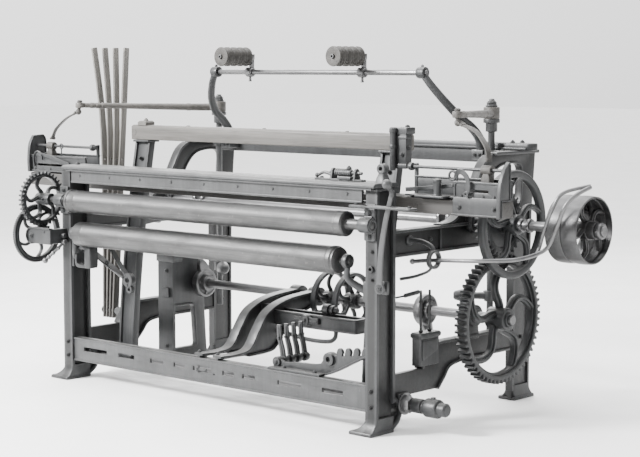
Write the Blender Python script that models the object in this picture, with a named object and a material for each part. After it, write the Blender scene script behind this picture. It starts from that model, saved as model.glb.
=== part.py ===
"""Overpick power loom, plain weave, built as separate pieces in metres.

World frame: +X to the belt-pulley end, -Y to the weaver, +Z up; the origin is on the floor midway
between the end frames. Every object is one piece and is named as one node.
"""
import math

import bmesh
import bpy
from mathutils import Matrix, Vector

# ---------------------------------------------------------------- driving sizes
GAP = 0.0006                 # clearance left between neighbouring pieces
FRAME_X = 0.8675             # centre plane of each end frame, from the middle
WEB = 0.012                  # half thickness of a frame's web
FLANGE = 0.0275              # half width of a front post
POST_FRONT, POST_BACK = -0.487, -0.378
POST_TOP = 0.926
REAR_FRONT, REAR_BACK = 0.400, 0.520
FRAME_TOP = 1.030
RAIL_LOW, RAIL_HIGH = 0.660, 0.760       # upper side rail of an end frame
SHAFT_Y = 0.130              # crankshaft and tappet shaft lie one above the other
CRANK_Z, TAPPET_Z = 0.760, 0.385
SHAFT_R = 0.019
CRANK_THROW = 0.030
FAST_PULLEY, LOOSE_PULLEY = (1.300, 1.368), (1.370, 1.438)    # ends of each pulley along the shaft
SHAFT_COLLAR = (1.454, 1.476)
SWORD_X = {"left": -0.660, "right": 0.740}
ROCKER_Y, ROCKER_Z, ROCKER_R = -0.320, 0.100, 0.015
ROLLER_Y, TAKE_UP_Z, CLOTH_Z = -0.510, 0.790, 0.650
GEAR_TEETH, PINION_TEETH = 60, 30
TAKE_UP_TEETH, TAKE_UP_PINION_TEETH, RATCHET_TEETH = 36, 12, 40
PICK_X, PICK_Y, PICK_Z = 0.785, 0.375, 1.180
PICK_SWING = math.radians(25)            # outward lean of a picking arm at rest
PICK_ARM = 0.670
PICK_R = 0.014
BOX_TOP = {-1: 0.975, 1: 0.965}          # height of the left and right shuttle boxes
SPINDLE_RISE, SPINDLE_R = 0.034, 0.006   # picker spindle above its box
PICKER_X = {-1: -1.190, 1: 1.255}
PICKER_R = 0.017
PICKER_TOP = {side: top + SPINDLE_RISE + PICKER_R for side, top in BOX_TOP.items()}
TREADLE_COUNT, TREADLE_X, TREADLE_Z = 4, 0.345, 0.2120
LEVER_X, LEVER_Y, LEVER_Z = -1.118, -0.045, 0.235    # outermost heald lever and its pin
LEVER_PIN_R = 0.011
SLAT_COUNT, SLAT_PITCH, SLAT_TOP = 4, 0.020, 1.455
HANDLE_X, HANDLE_Z = 0.925, 0.560        # pin of the starting handle
FORK_X, FORK_Y, FORK_Z = 1.0065, -0.290, 0.655   # guide ring of the belt fork
STANDARD_X = -0.692
ARCH_X, ARCH_Y, ARCH_Z = 0.590, 0.165, 1.345     # harness rod between the arch brackets
PULLEY_X, PULLEY_Z = (-0.400, 0.250), 1.412

IRON = ((0.10, 0.105, 0.11), 0.6, 0.55)
STEEL = ((0.55, 0.55, 0.56), 1.0, 0.30)
WOOD = ((0.55, 0.38, 0.21), 0.0, 0.60)
LEATHER = ((0.30, 0.17, 0.09), 0.0, 0.70)

for stale in list(bpy.data.objects):
    bpy.data.objects.remove(stale)


# ---------------------------------------------------------------- mesh helpers
def spot(axis, u, v, w):
    """Point at w along axis, with u and v on the other two axes in X, Y, Z order."""
    if axis == "X":
        return Vector((w, u, v))
    if axis == "Y":
        return Vector((u, w, v))
    return Vector((u, v, w))


def solid(bm):
    """Turn a bmesh into a linked object with outward normals."""
    bmesh.ops.recalc_face_normals(bm, faces=bm.faces)
    mesh = bpy.data.meshes.new("piece")
    bm.to_mesh(mesh)
    bm.free()
    made = bpy.data.objects.new("piece", mesh)
    bpy.context.scene.collection.objects.link(made)
    return made


def plate(axis, outline, low, high, holes=()):
    """Flat plate: an outline with holes, extruded from low to high along an axis."""
    bm = bmesh.new()
    caps = ([], [])
    for loop in (outline, *holes):
        rings = []
        for side, w in enumerate((low, high)):
            ring = [bm.verts.new(spot(axis, u, v, w)) for u, v in loop]
            edges = [bm.edges.new((ring[i - 1], ring[i])) for i in range(len(ring))]
            caps[side].extend(edges)
            rings.append(ring)
        near, far = rings
        for i in range(len(near)):
            bm.faces.new((near[i - 1], near[i], far[i], far[i - 1]))
    for edges in caps:
        bmesh.ops.triangle_fill(bm, use_beauty=True, edges=edges)
    return solid(bm)


def facets(radius):
    """Number of sides for a round part of this size."""
    if radius < 0.012:
        return 8
    if radius < 0.030:
        return 12
    return 16 if radius < 0.100 else 28


def turned(axis, u, v, profile, sides=16, ring=False):
    """Turned shape about an axis through (u, v); profile is (radius, place along the axis)."""
    bm = bmesh.new()
    rows = []
    for radius, w in profile:
        if radius == 0:
            rows.append([bm.verts.new(spot(axis, u, v, w))])
            continue
        turn = [2 * math.pi * i / sides for i in range(sides)]
        rows.append([
            bm.verts.new(spot(axis, u + radius * math.cos(a), v + radius * math.sin(a), w))
            for a in turn
        ])
    pairs = list(zip(rows, rows[1:]))
    if ring:
        pairs.append((rows[-1], rows[0]))
    else:
        for end in (rows[0], rows[-1]):
            if len(end) > 1:
                bm.faces.new(end)
    for one, two in pairs:
        for i in range(sides):
            start = [one[0]] if len(one) == 1 else [one[i - 1], one[i]]
            end = [two[0]] if len(two) == 1 else [two[i], two[i - 1]]
            bm.faces.new(start + end)
    return solid(bm)


def drum(axis, u, v, radius, low, high):
    return turned(axis, u, v, [(radius, low), (radius, high)], facets(radius))


def bore(axis, u, v, radius, low, high):
    """Cutter whose flats clear a round part of the given radius."""
    sides = max(12, facets(radius))
    size = (radius + GAP) / math.cos(math.pi / sides)
    return turned(axis, u, v, [(size, low), (size, high)], sides)


def tube(axis, u, v, inner, outer, low, high):
    profile = [(inner, low), (outer, low), (outer, high), (inner, high)]
    return turned(axis, u, v, profile, facets(outer), ring=True)


def bush(axis, u, v, shaft, outer, low, high):
    """Ring whose hole clears a round shaft of the given radius."""
    inner = (shaft + GAP) / math.cos(math.pi / facets(outer))
    return tube(axis, u, v, inner, outer, low, high)


def block(x, y, z):
    """Box between pairs of limits on each axis."""
    outline = [(x[0], y[0]), (x[1], y[0]), (x[1], y[1]), (x[0], y[1])]
    return plate("Z", outline, z[0], z[1])


def taper(base, top, z):
    """Box whose base rectangle (x0, x1, y0, y1) narrows to a top rectangle."""
    bm = bmesh.new()
    rows = []
    for (x0, x1, y0, y1), height in zip((base, top), z):
        corners = ((x0, y0), (x1, y0), (x1, y1), (x0, y1))
        rows.append([bm.verts.new((x, y, height)) for x, y in corners])
    bm.faces.new(rows[0])
    bm.faces.new(rows[1])
    for i in range(4):
        bm.faces.new((rows[0][i - 1], rows[0][i], rows[1][i], rows[1][i - 1]))
    return solid(bm)


def smooth(points, steps=2):
    """Points on a smooth curve through the given ones, in two or three dimensions."""
    ends = [points[0], *points, points[-1]]
    path = []
    for before, start, end, after in zip(ends, ends[1:], ends[2:], ends[3:]):
        for k in range(steps):
            t = k / steps
            path.append(tuple(
                0.5 * (2 * b + (c - a) * t + (2 * a - 5 * b + 4 * c - d) * t * t
                       + (3 * b - a - 3 * c + d) * t ** 3)
                for a, b, c, d in zip(before, start, end, after)
            ))
    path.append(tuple(points[-1]))
    return path


def ribbon(path, width):
    """Outline of a bar of the given width (or start and end widths) along a plane path."""
    start, end = width if isinstance(width, tuple) else (width, width)
    left, right = [], []
    last = len(path) - 1
    for i, (u, v) in enumerate(path):
        ahead, behind = path[min(i + 1, last)], path[max(i - 1, 0)]
        along = Vector((ahead[0] - behind[0], ahead[1] - behind[1])).normalized()
        half = (start + (end - start) * i / last) / 2
        left.append((u - along.y * half, v + along.x * half))
        right.append((u + along.y * half, v - along.x * half))
    return left + right[::-1]


def rod(path, radius, sides=8):
    """Round bar along a path in space, with flat ends; radius may be (start, end)."""
    start, end = radius if isinstance(radius, tuple) else (radius, radius)
    points = [Vector(p) for p in path]
    bm = bmesh.new()
    rows = []
    last = len(points) - 1
    frame = None
    for i, point in enumerate(points):
        along = (points[min(i + 1, last)] - points[max(i - 1, 0)]).normalized()
        if frame is None:
            frame = along.orthogonal().normalized()
        frame = (frame - along * frame.dot(along)).normalized()
        across = along.cross(frame)
        size = start + (end - start) * i / last
        rows.append([
            bm.verts.new(point + size * (math.cos(a) * frame + math.sin(a) * across))
            for a in (2 * math.pi * k / sides for k in range(sides))
        ])
    bm.faces.new(rows[0])
    bm.faces.new(rows[-1])
    for one, two in zip(rows, rows[1:]):
        for k in range(sides):
            bm.faces.new((one[k - 1], one[k], two[k], two[k - 1]))
    return solid(bm)


def ball(centre, radius, sides=12):
    x, y, z = centre
    steps = sides // 2
    profile = [
        (radius * math.sin(math.pi * i / steps), z - radius * math.cos(math.pi * i / steps))
        for i in range(1, steps)
    ]
    return turned("Z", x, y, [(0, z - radius), *profile, (0, z + radius)], sides)


def circle(u, v, radius, sides=24, start=0.0, sweep=2 * math.pi):
    count = sides if sweep > 6.28 else sides + 1
    return [
        (u + radius * math.cos(start + sweep * i / sides), v + radius * math.sin(start + sweep * i / sides))
        for i in range(count)
    ]


def group(name, members):
    made = bpy.data.collections.new(name)
    for member in members:
        bpy.context.scene.collection.objects.unlink(member)
        made.objects.link(member)
    bpy.context.scene.collection.children.link(made)
    return made


def merge_flat(mesh):
    """Merge the coplanar triangles that a Boolean leaves."""
    bm = bmesh.new()
    bm.from_mesh(mesh)
    bmesh.ops.remove_doubles(bm, verts=bm.verts, dist=0.00001)
    bmesh.ops.dissolve_limit(bm, angle_limit=0.002, verts=bm.verts, edges=bm.edges)
    bmesh.ops.triangulate(bm, faces=bm.faces)
    bm.to_mesh(mesh)
    bm.free()


def finish(name, parts, look, pivot=(0, 0, 0), cuts=()):
    """Join solids into one piece, cut others out of it, and put its origin at the pivot."""
    base = parts[0]
    helpers = []
    for operation, members in (("UNION", parts[1:]), ("DIFFERENCE", cuts)):
        if not members:
            continue
        helpers.append(group(name + operation, members))
        joint = base.modifiers.new(operation, "BOOLEAN")
        joint.operation = operation
        joint.solver = "EXACT"
        joint.operand_type = "COLLECTION"
        joint.collection = helpers[-1]
    seen = base.evaluated_get(bpy.context.evaluated_depsgraph_get())
    mesh = bpy.data.meshes.new_from_object(seen)
    for helper in helpers:
        for member in list(helper.objects):
            bpy.data.objects.remove(member)
        bpy.data.collections.remove(helper)
    bpy.data.objects.remove(base)
    mesh.transform(Matrix.Translation(-Vector(pivot)))
    merge_flat(mesh)
    piece = bpy.data.objects.new(name, mesh)
    piece.location = pivot
    bpy.context.scene.collection.objects.link(piece)
    colour, metal, rough = look
    material = bpy.data.materials.new(name + "_finish")
    material.use_nodes = True
    shader = material.node_tree.nodes["Principled BSDF"]
    shader.inputs["Base Color"].default_value = (*colour, 1)
    shader.inputs["Metallic"].default_value = metal
    shader.inputs["Roughness"].default_value = rough
    mesh.materials.clear()
    mesh.materials.append(material)
    return piece


def gear_outline(u, v, teeth, tip, root, shift=0.0):
    """Straight-sided teeth; shift turns the gear by that many teeth."""
    outline = []
    pitch = 2 * math.pi / teeth
    for tooth in range(teeth):
        for part, radius in ((-0.30, root), (-0.13, tip), (0.13, tip), (0.30, root)):
            a = (tooth + shift + part) * pitch
            outline.append((u + radius * math.cos(a), v + radius * math.sin(a)))
    return outline


def spokes(axis, u, v, count, inner, outer, low, high, width, sweep=0.5, turn=0.0):
    """Curved arms from a hub to a rim."""
    arms = []
    for arm in range(count):
        path = []
        for i in range(4):
            t = i / 3
            a = turn + 2 * math.pi * arm / count + sweep * math.sin(math.pi * t) * (1 - 0.4 * t)
            radius = inner + (outer - inner) * t
            path.append((u + radius * math.cos(a), v + radius * math.sin(a)))
        arms.append(plate(axis, ribbon(path, width), low, high))
    return arms


# ---------------------------------------------------------------- end frames
def rail_curve():
    """Top and bottom edges of the lower side rail, from front to back."""
    top = smooth([(-0.200, 0.215), (-0.165, 0.262), (-0.110, 0.300), (-0.020, 0.304)])
    bottom = smooth([(-0.100, 0.125), (-0.062, 0.165), (-0.020, 0.206), (0.080, 0.220)])
    return top, bottom


def pick_bearings(side):
    """Two lugs on the inside of a frame, one above the other, for a picking shaft."""
    x = side * PICK_X
    parts, bores = [], []
    for height in (0.330, FRAME_TOP - 0.028):
        parts.append(drum("Z", x, PICK_Y, 0.028, height, height + 0.028))
        reach = sorted((x, side * (FRAME_X - 0.005)))
        parts.append(block(reach, (PICK_Y - 0.016, PICK_Y + 0.030), (height + 0.016, height + 0.027)))
    parts.append(block(sorted((side * (FRAME_X - 0.020), side * (FRAME_X - 0.008))),
                       (PICK_Y - 0.016, REAR_FRONT + 0.020), (0.320, 0.372)))
    bores.append(bore("Z", x, PICK_Y, PICK_R, 0.2, 1.2))
    return parts, bores


def rocker_bearing(side):
    """Bearing hung under the side rail, for the rocker shaft."""
    x = side * FRAME_X
    outline = [
        (ROCKER_Y + 0.030, 0.130), (ROCKER_Y - 0.030, 0.130),
        *circle(ROCKER_Y, ROCKER_Z, 0.030, 10, math.pi, math.pi),
    ]
    parts = [plate("X", outline, x - 0.026, x + 0.026)]
    return parts, [bore("X", ROCKER_Y, ROCKER_Z, ROCKER_R, x - 0.1, x + 0.1)]


def right_fittings():
    """Guide and pin of the starting handle, pedestal on the side rail and guide ring of the belt fork."""
    x, outer = FRAME_X, FRAME_X + FLANGE
    slot = [(0.850, -0.520), (1.040, -0.520), (1.040, -0.496), (0.850, -0.496)]
    edge = [(0.790, -0.532), (1.085, -0.532), (1.085, -0.484), (0.790, -0.484)]
    return [
        plate("Z", edge, 0.8550, 0.8635, (slot,)),
        block((0.845, 0.890), (-0.4950, POST_FRONT + 0.006), (0.8500, 0.8660)),
        block((x - 0.020, x + 0.022), (-0.217, -0.103), (0.230, 0.345)),
        block((x - 0.025, x + 0.028), (-0.222, -0.098), (0.335, 0.353)),
        drum("Z", x + 0.002, -0.192, 0.005, 0.345, 0.515),
        drum("Z", x + 0.002, -0.137, 0.005, 0.345, 0.515),
        drum("Y", HANDLE_X, HANDLE_Z, 0.008, -0.522, -0.476),
        block((outer - 0.004, HANDLE_X + 0.018), (-0.4866, -0.4740), (0.535, 0.585)),
        tube("X", FORK_Y, FORK_Z, 0.026, 0.036, FORK_X - 0.010, FORK_X + 0.010),
        rod([(FORK_X, FORK_Y, FORK_Z + 0.031), (FORK_X - 0.018, -0.287, FORK_Z + 0.050),
             (0.935, -0.280, 0.718), (x, -0.280, 0.718)], 0.009),
    ], []


def lever_pin():
    """Boss and pin outside the left frame, for the heald levers."""
    outer = -FRAME_X - WEB
    last = LEVER_X - 0.010
    return [
        drum("X", LEVER_Y, LEVER_Z, 0.030, outer - 0.012, outer + 0.004),
        drum("X", LEVER_Y, LEVER_Z, 0.019, -1.044, outer + 0.004),
        drum("X", LEVER_Y, LEVER_Z, LEVER_PIN_R, last, outer + 0.004),
        drum("X", LEVER_Y, LEVER_Z, 0.017, last - 0.008, last),
    ], []


def end_frame(side, name, extras):
    x = side * FRAME_X
    top, bottom = rail_curve()
    cusp = smooth([(-0.392, 0.012), (-0.352, 0.040), (-0.338, 0.085), (-0.372, 0.125)])
    crest = smooth([(0.270, FRAME_TOP), (0.190, 0.985), (0.110, 0.860), (0.000, 0.775), (-0.090, RAIL_HIGH)])
    outline = [
        (POST_FRONT + 0.004, 0.012), *cusp, *bottom, (REAR_FRONT, 0.220), (REAR_FRONT, 0.012),
        (REAR_BACK - 0.004, 0.012), (REAR_BACK, 0.300), (0.535, 0.800), (0.555, FRAME_TOP),
        *crest, (POST_BACK, RAIL_HIGH), (POST_BACK, POST_TOP), (POST_FRONT + 0.004, POST_TOP),
    ]
    window = [
        (POST_BACK, 0.215), *top, (REAR_FRONT, 0.304), (REAR_FRONT, RAIL_LOW), (POST_BACK, RAIL_LOW),
    ]
    arch = smooth([(0.170, 0.800), (0.300, 0.790), (0.430, 0.800), (0.455, 0.900), (0.440, 0.975),
                   (0.310, 0.975), (0.235, 0.920), (0.170, 0.800)])[:-1]
    toe = circle(-0.366, 0.075, 0.016, 10)
    flange, rail = (x - 0.024, x + 0.024), (POST_BACK - 0.004, REAR_FRONT + 0.004)
    parts = [
        plate("X", outline, x - WEB, x + WEB, (window, arch, toe)),
        block((x - FLANGE, x + FLANGE), (POST_FRONT, POST_FRONT + 0.014), (0.040, POST_TOP)),
        block((x - FLANGE, x + FLANGE), (POST_BACK - 0.014, POST_BACK), (0.110, POST_TOP)),
        block((x - 0.0180, x + 0.0180), (REAR_FRONT, REAR_FRONT + 0.012), (0.040, 0.800)),
        block((x - 0.0180, x + 0.0180), (REAR_BACK - 0.014, REAR_BACK - 0.002), (0.040, 0.800)),
        block((x - 0.083, x + FLANGE), (-0.520, -0.380), (0, 0.014)),
        taper((x - 0.062, x + FLANGE, -0.508, -0.384), (x - FLANGE, x + FLANGE, POST_FRONT, -0.384),
              (0.010, 0.050)),
        block((x - 0.060, x + 0.024), (0.405, 0.550), (0, 0.014)),
        taper((x - 0.045, x + 0.022, 0.402, 0.540), (x - 0.018, x + 0.018, 0.402, 0.518), (0.010, 0.048)),
        block(flange, rail, (RAIL_HIGH - 0.010, RAIL_HIGH)),
        block(flange, rail, (RAIL_LOW, RAIL_LOW + 0.010)),
        block((x - 0.030, x + 0.030), (0.260, 0.556), (FRAME_TOP - 0.014, FRAME_TOP)),
        drum("X", SHAFT_Y, CRANK_Z, 0.046, x - 0.036, x + 0.036),
        drum("X", SHAFT_Y, TAPPET_Z, 0.044, x - 0.030, x + 0.030),
        block((x - WEB, x + WEB), (SHAFT_Y - 0.036, SHAFT_Y + 0.036), (0.260, TAPPET_Z)),
    ]
    bores = [
        bore("X", SHAFT_Y, CRANK_Z, SHAFT_R, x - 0.06, x + 0.06),
        bore("X", SHAFT_Y, TAPPET_Z, SHAFT_R, x - 0.06, x + 0.06),
    ]
    for more, cuts in extras:
        parts += more
        bores += cuts
    finish(name, parts, IRON, cuts=bores)


end_frame(1, "end_frame_right", [pick_bearings(1), rocker_bearing(1), right_fittings()])
end_frame(-1, "end_frame_left", [pick_bearings(-1), rocker_bearing(-1), lever_pin()])


# ---------------------------------------------------------------- cross members
RAIL_END = FRAME_X - FLANGE - GAP
SLOTS = ((-0.700, 0.150), (-0.500, 0.100), (-0.310, 0.080), (-0.175, 0.065), (-0.040, 0.105),
         (0.110, 0.065), (0.225, 0.070), (0.445, 0.125), (0.668, 0.105))


def front_rail():
    low, high = 0.083, 0.186
    outline = [(-RAIL_END, low), (RAIL_END, low), (RAIL_END, high), (-RAIL_END, high)]
    slots = [
        [(x - w / 2, 0.130), (x + w / 2, 0.130), (x + w / 2, 0.148), (x - w / 2, 0.148)]
        for x, w in SLOTS
    ]
    ends = (-RAIL_END, RAIL_END)
    finish("front_rail", [
        plate("Y", outline, -0.477, -0.466, slots),
        block(ends, (-0.477, -0.438), (high - 0.009, high)),
        block(ends, (-0.477, -0.438), (low, low + 0.009)),
    ], IRON)


def breast_beam():
    rim = [(-0.520, 0.9275), (-0.372, 0.9275), (-0.372, 0.934), (-0.384, 0.944), (-0.508, 0.944),
           (-0.520, 0.937)]
    finish("breast_beam", [
        plate("X", rim, -0.860, 0.905),
        block((-0.815, 0.832), (-0.500, -0.488), (0.872, 0.930)),
        block((-0.815, 0.832), (-0.500, -0.462), (0.868, 0.877)),
    ], IRON)


def rear_rail():
    finish("rear_rail", [
        block((-0.905, 0.930), (0.412, 0.472), (FRAME_TOP + GAP, 1.060)),
        drum("Z", 0.930, 0.442, 0.030, FRAME_TOP + GAP, 1.060),
        block((-0.905, 0.930), (0.424, 0.434), (0.9750, 1.040)),
    ], IRON, cuts=[
        block((side * FRAME_X - 0.034, side * FRAME_X + 0.034), (0.40, 0.48), (0.95, FRAME_TOP + GAP))
        for side in (-1, 1)
    ])


front_rail()
breast_beam()
rear_rail()


# ---------------------------------------------------------------- take-up and cloth rollers
def post_bearing(side, name):
    """Bearing bolted to the front of a post, with an ear above and below."""
    x = side * FRAME_X
    ears = [
        (x - 0.024, TAKE_UP_Z - 0.058), (x + 0.024, TAKE_UP_Z - 0.058),
        (x + 0.024, TAKE_UP_Z + 0.058), (x - 0.024, TAKE_UP_Z + 0.058),
    ]
    face = POST_FRONT - GAP
    finish(name, [
        plate("Y", ears, face - 0.012, face),
        drum("X", ROLLER_Y - 0.004, TAKE_UP_Z, 0.030, x - 0.024, x + 0.024),
        drum("Y", x, TAKE_UP_Z + 0.042, 0.008, face - 0.020, face - 0.010),
        drum("Y", x, TAKE_UP_Z - 0.042, 0.008, face - 0.020, face - 0.010),
    ], IRON, cuts=[
        bore("X", ROLLER_Y - 0.004, TAKE_UP_Z, 0.0135, x - 0.05, x + 0.05),
        block((x - 0.05, x + 0.05), (face, face + 0.05), (TAKE_UP_Z - 0.1, TAKE_UP_Z + 0.1)),
    ])


def take_up_roller():
    y, z = ROLLER_Y - 0.004, TAKE_UP_Z
    profile = [
        (0.0135, -1.030), (0.0135, -0.838), (0.020, -0.836), (0.020, -0.796),
        (0.052, -0.795), (0.052, -0.783), (0.048, -0.780), (0.048, 0.777),
        (0.020, 0.778), (0.020, 0.836), (0.0135, 0.838), (0.0135, 0.896),
    ]
    finish("take_up_roller", [turned("X", y, z, profile, 24)], STEEL, (0, y, z))


def cloth_roller():
    y, z = ROLLER_Y, CLOTH_Z
    profile = [
        (0.012, -0.806), (0.012, -0.759), (0.052, -0.757), (0.052, 0.712),
        (0.054, 0.716), (0.054, 0.738), (0.012, 0.740), (0.012, 0.790),
    ]
    finish("cloth_roller", [turned("X", y, z, profile, 24)], STEEL, (0, y, z))


def cloth_arm(side, name, bearing_x):
    """Curved arm that holds one end of the cloth roller from the inside of a post."""
    wall = side * (FRAME_X - FLANGE - GAP)
    x = side * bearing_x
    hook = smooth([
        (wall - side * 0.012, -0.455, 0.535), (x + side * 0.030, -0.478, 0.552),
        (x, -0.508, 0.585), (x, -0.510, 0.630),
    ])
    parts = [
        bush("X", ROLLER_Y, CLOTH_Z, 0.012, 0.026, x - 0.010, x + 0.010),
        rod(hook, (0.016, 0.010)),
        block(sorted((wall, wall - side * 0.016)), (-0.484, -0.420), (0.500, 0.575)),
    ]
    if side < 0:
        stirrup = [(-0.800, 0.505), (-0.690, 0.505), (-0.690, 0.590), (-0.800, 0.590)]
        inner = [(-0.788, 0.517), (-0.702, 0.517), (-0.702, 0.578), (-0.788, 0.578)]
        parts.append(plate("Y", stirrup, -0.500, -0.470, (inner,)))
        parts.append(block((wall, -0.795), (-0.484, -0.472), (0.530, 0.560)))
    finish(name, parts, IRON, cuts=[bore("X", ROLLER_Y, CLOTH_Z, 0.012, x - 0.03, x + 0.03)])


def take_up_train():
    y, z = ROLLER_Y - 0.004, TAKE_UP_Z
    module = 0.155 / (0.5 * (TAKE_UP_TEETH + TAKE_UP_PINION_TEETH))
    pitch, small = module * TAKE_UP_TEETH / 2, module * TAKE_UP_PINION_TEETH / 2
    tall, deep = 0.80 * module, 1.10 * module
    rim = plate("X", gear_outline(y, z, TAKE_UP_TEETH, pitch + tall, pitch - deep), -1.012, -0.990,
                (circle(y, z, pitch - 0.020, 24),))
    hub = bush("X", y, z, 0.0135, 0.026, -1.018, -0.936)
    arms = spokes("X", y, z, 5, 0.022, pitch - 0.014, -1.009, -0.993, 0.014, 0.55, 0.3)
    finish("take_up_gear", [rim, hub, *arms], IRON, (0, y, z))

    low = z - 0.155
    wheel = 0.130
    teeth = []
    for tooth in range(RATCHET_TEETH):
        a = 2 * math.pi * tooth / RATCHET_TEETH
        teeth.append((y + wheel * math.cos(a), low + wheel * math.sin(a)))
        teeth.append((y + (wheel - 0.006) * math.cos(a + 0.02), low + (wheel - 0.006) * math.sin(a + 0.02)))
    rim = plate("X", teeth, -1.048, -1.030, (circle(y, low, wheel - 0.024, 24),))
    arms = spokes("X", y, low, 5, 0.018, wheel - 0.016, -1.046, -1.032, 0.014, 0.55, 0.9)
    pinion = plate(
        "X", gear_outline(y, low, TAKE_UP_PINION_TEETH, small + tall, small - deep, 0.5), -1.014, -0.986)
    stud = turned("X", y, low, [(0.022, -1.052), (0.022, -1.016), (0.011, -1.014), (0.011, -0.842)])
    finish("ratchet_wheel", [rim, stud, pinion, *arms], IRON, (0, y, low))

    front = [(-0.865, low - 0.034), (-0.865, low + 0.030), (-0.990, low + 0.030),
             *circle(-0.990, low - 0.002, 0.032, 8, math.pi / 2, math.pi), (-0.990, low - 0.034)]
    finish("ratchet_bracket", [
        plate("Y", front, -0.582, -0.570),
        block((-0.895, -0.865), (-0.575, POST_FRONT - GAP), (low - 0.034, low + 0.030)),
        drum("Y", -0.990, low - 0.002, 0.009, -0.590, -0.580),
    ], IRON, cuts=[bore("X", y, low, 0.011, -0.95, -0.80)])

    lever = [(-0.852, -0.515, 0.610), (-0.866, -0.545, 0.572), (-0.890, -0.590, 0.530)]
    finish("take_up_pawl", [
        rod(lever, (0.0065, 0.006), 8), ball(lever[-1], 0.012, 10),
        drum("X", lever[0][1], lever[0][2], 0.011, -0.861, -0.842),
    ], STEEL, lever[0])


post_bearing(1, "take_up_bearing_right")
post_bearing(-1, "take_up_bearing_left")
take_up_roller()
cloth_roller()
cloth_arm(1, "cloth_roller_arm_right", 0.772)
cloth_arm(-1, "cloth_roller_arm_left", 0.788)
take_up_train()


# ---------------------------------------------------------------- sley
def sword_y(z):
    """Middle of a sword's thickness at height z."""
    lean = (z - ROCKER_Z) / (1.050 - ROCKER_Z)
    return ROCKER_Y + 0.010 * lean + 0.105 * lean ** 1.6


def sley():
    pivot = (0, ROCKER_Y, ROCKER_Z)
    shaft = turned("X", ROCKER_Y, ROCKER_Z, [
        (ROCKER_R, -0.935), (ROCKER_R, 0.940), (0.028, 0.942), (0.028, 0.985), (0.022, 0.987),
        (0.022, 1.000), (0.036, 1.002), (0.036, 1.062), (0.026, 1.064), (0.026, 1.100),
    ])
    finish("rocker_shaft", [shaft], STEEL, pivot)
    heights = [ROCKER_Z, 0.35, 0.60, 0.85, 1.043]
    for tag, x in SWORD_X.items():
        path = [(sword_y(z), z) for z in heights]
        lugs = [
            plate("X", [(-0.262, 0.675), (-0.128, 0.690), (-0.118, 0.700), (-0.128, 0.712), (-0.262, 0.745)],
                  x + place - 0.005, x + place + 0.005)
            for place in (-0.020, 0.020)
        ]
        parts = [
            plate("X", ribbon(path[:-1] + [(sword_y(1.036), 1.036)], 0.016), x - 0.040, x + 0.040),
            plate("X", ribbon(path, 0.034), x - 0.046, x - 0.034),
            plate("X", ribbon(path, 0.034), x + 0.034, x + 0.046),
            drum("X", ROCKER_Y, ROCKER_Z, 0.034, x - 0.046, x + 0.046),
            *lugs,
        ]
        finish("sword_" + tag, parts, IRON, pivot, cuts=[
            bore("X", ROCKER_Y, ROCKER_Z, ROCKER_R, x - 0.1, x + 0.1),
        ])

    back = sword_y(0.825) - 0.0185
    beam = [(back - 0.072, 0.830), (back, 0.830), (back, 0.892), (back - 0.072, 0.886)]
    finish("lay_beam", [plate("X", beam, -1.300, 1.345)], WOOD, pivot)
    cap = [(-0.226, 1.050), (-0.168, 1.050), (-0.168, 1.108), (-0.178, 1.114), (-0.216, 1.114),
           (-0.226, 1.108)]
    finish("sley_cap", [
        plate("X", cap, -0.730, 0.815),
        block((-0.690, -0.640), (-0.222, -0.172), (1.110, 1.132)),
    ], WOOD, pivot, cuts=[drum("Y", -0.712, 1.082, 0.008, -0.3, -0.1)])
    finish("cap_post", [
        block((0.790, 0.848), (-0.262, -0.2266), (0.990, 1.125)),
        block((0.790, 0.850), (-0.262, -0.212), (1.1146, 1.142)),
        drum("Z", 0.794, -0.272, 0.012, 0.985, 1.128),
        drum("Z", 0.794, -0.272, 0.015, 1.120, 1.136),
    ], IRON, pivot)
    shuttle_boxes(pivot, back)


def shuttle_boxes(pivot, back):
    """Open-topped boxes at the ends of the lay; each has a rod above it that its picker slides on."""
    floor = 0.8925
    front = back - 0.072
    for side, tag in ((-1, "left"), (1, "right")):
        tall = BOX_TOP[side]
        inner, mouth, outer = side * 0.900, side * 1.130, side * 1.345
        if side < 0:
            mouth, outer = -0.910, -1.300
        along = sorted((inner, outer))
        wall = sorted((mouth, outer))
        end = sorted((outer, outer - side * 0.012))
        bracket = sorted((inner, inner + side * 0.012))
        blade = [(front - 0.012, floor), (back + 0.012, floor), (back + 0.012, 1.020), (back - 0.004, 1.055),
                 (front + 0.010, 1.055), (front - 0.012, 1.000)]
        if side > 0:
            blade = [(front - 0.012, floor), (front + 0.050, floor), (front + 0.050, 1.018),
                     (front + 0.042, 1.026), (front + 0.022, 1.006), (front + 0.002, 0.965),
                     (front - 0.010, 0.925)]
        spindle_y, spindle_z = back - 0.036, tall + SPINDLE_RISE
        parts = [
            block(along, (front, back), (floor, floor + 0.006)),
            block(along, (back - 0.010, back), (floor, tall)),
            block(wall, (front, front + 0.010), (floor, tall - 0.010)),
            plate("X", blade, *end),
            block(bracket, (back - 0.010, back), (floor, spindle_z + 0.012)),
            block(bracket, (back - 0.048, back), (spindle_z - 0.012, spindle_z + 0.012)),
            drum("X", spindle_y, spindle_z, SPINDLE_R, along[0] + 0.002, along[1] - 0.002),
        ]
        if side > 0:
            parts.append(block((0.990, 1.110), (front - 0.040, front + 0.020), (floor, floor + 0.008)))
            parts.append(drum("Z", 1.070, front - 0.020, 0.014, floor, floor + 0.062))
        finish("shuttle_box_" + tag, parts, IRON, pivot)
        x = PICKER_X[side]
        finish("picker_" + tag, [
            bush("X", spindle_y, spindle_z, SPINDLE_R, PICKER_R, x - 0.022, x + 0.022),
            block((x - 0.020, x + 0.020), (spindle_y - 0.016, spindle_y + 0.016),
                  (floor + 0.012, spindle_z - 0.012)),
        ], LEATHER, (x, spindle_y, spindle_z))


sley()


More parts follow.
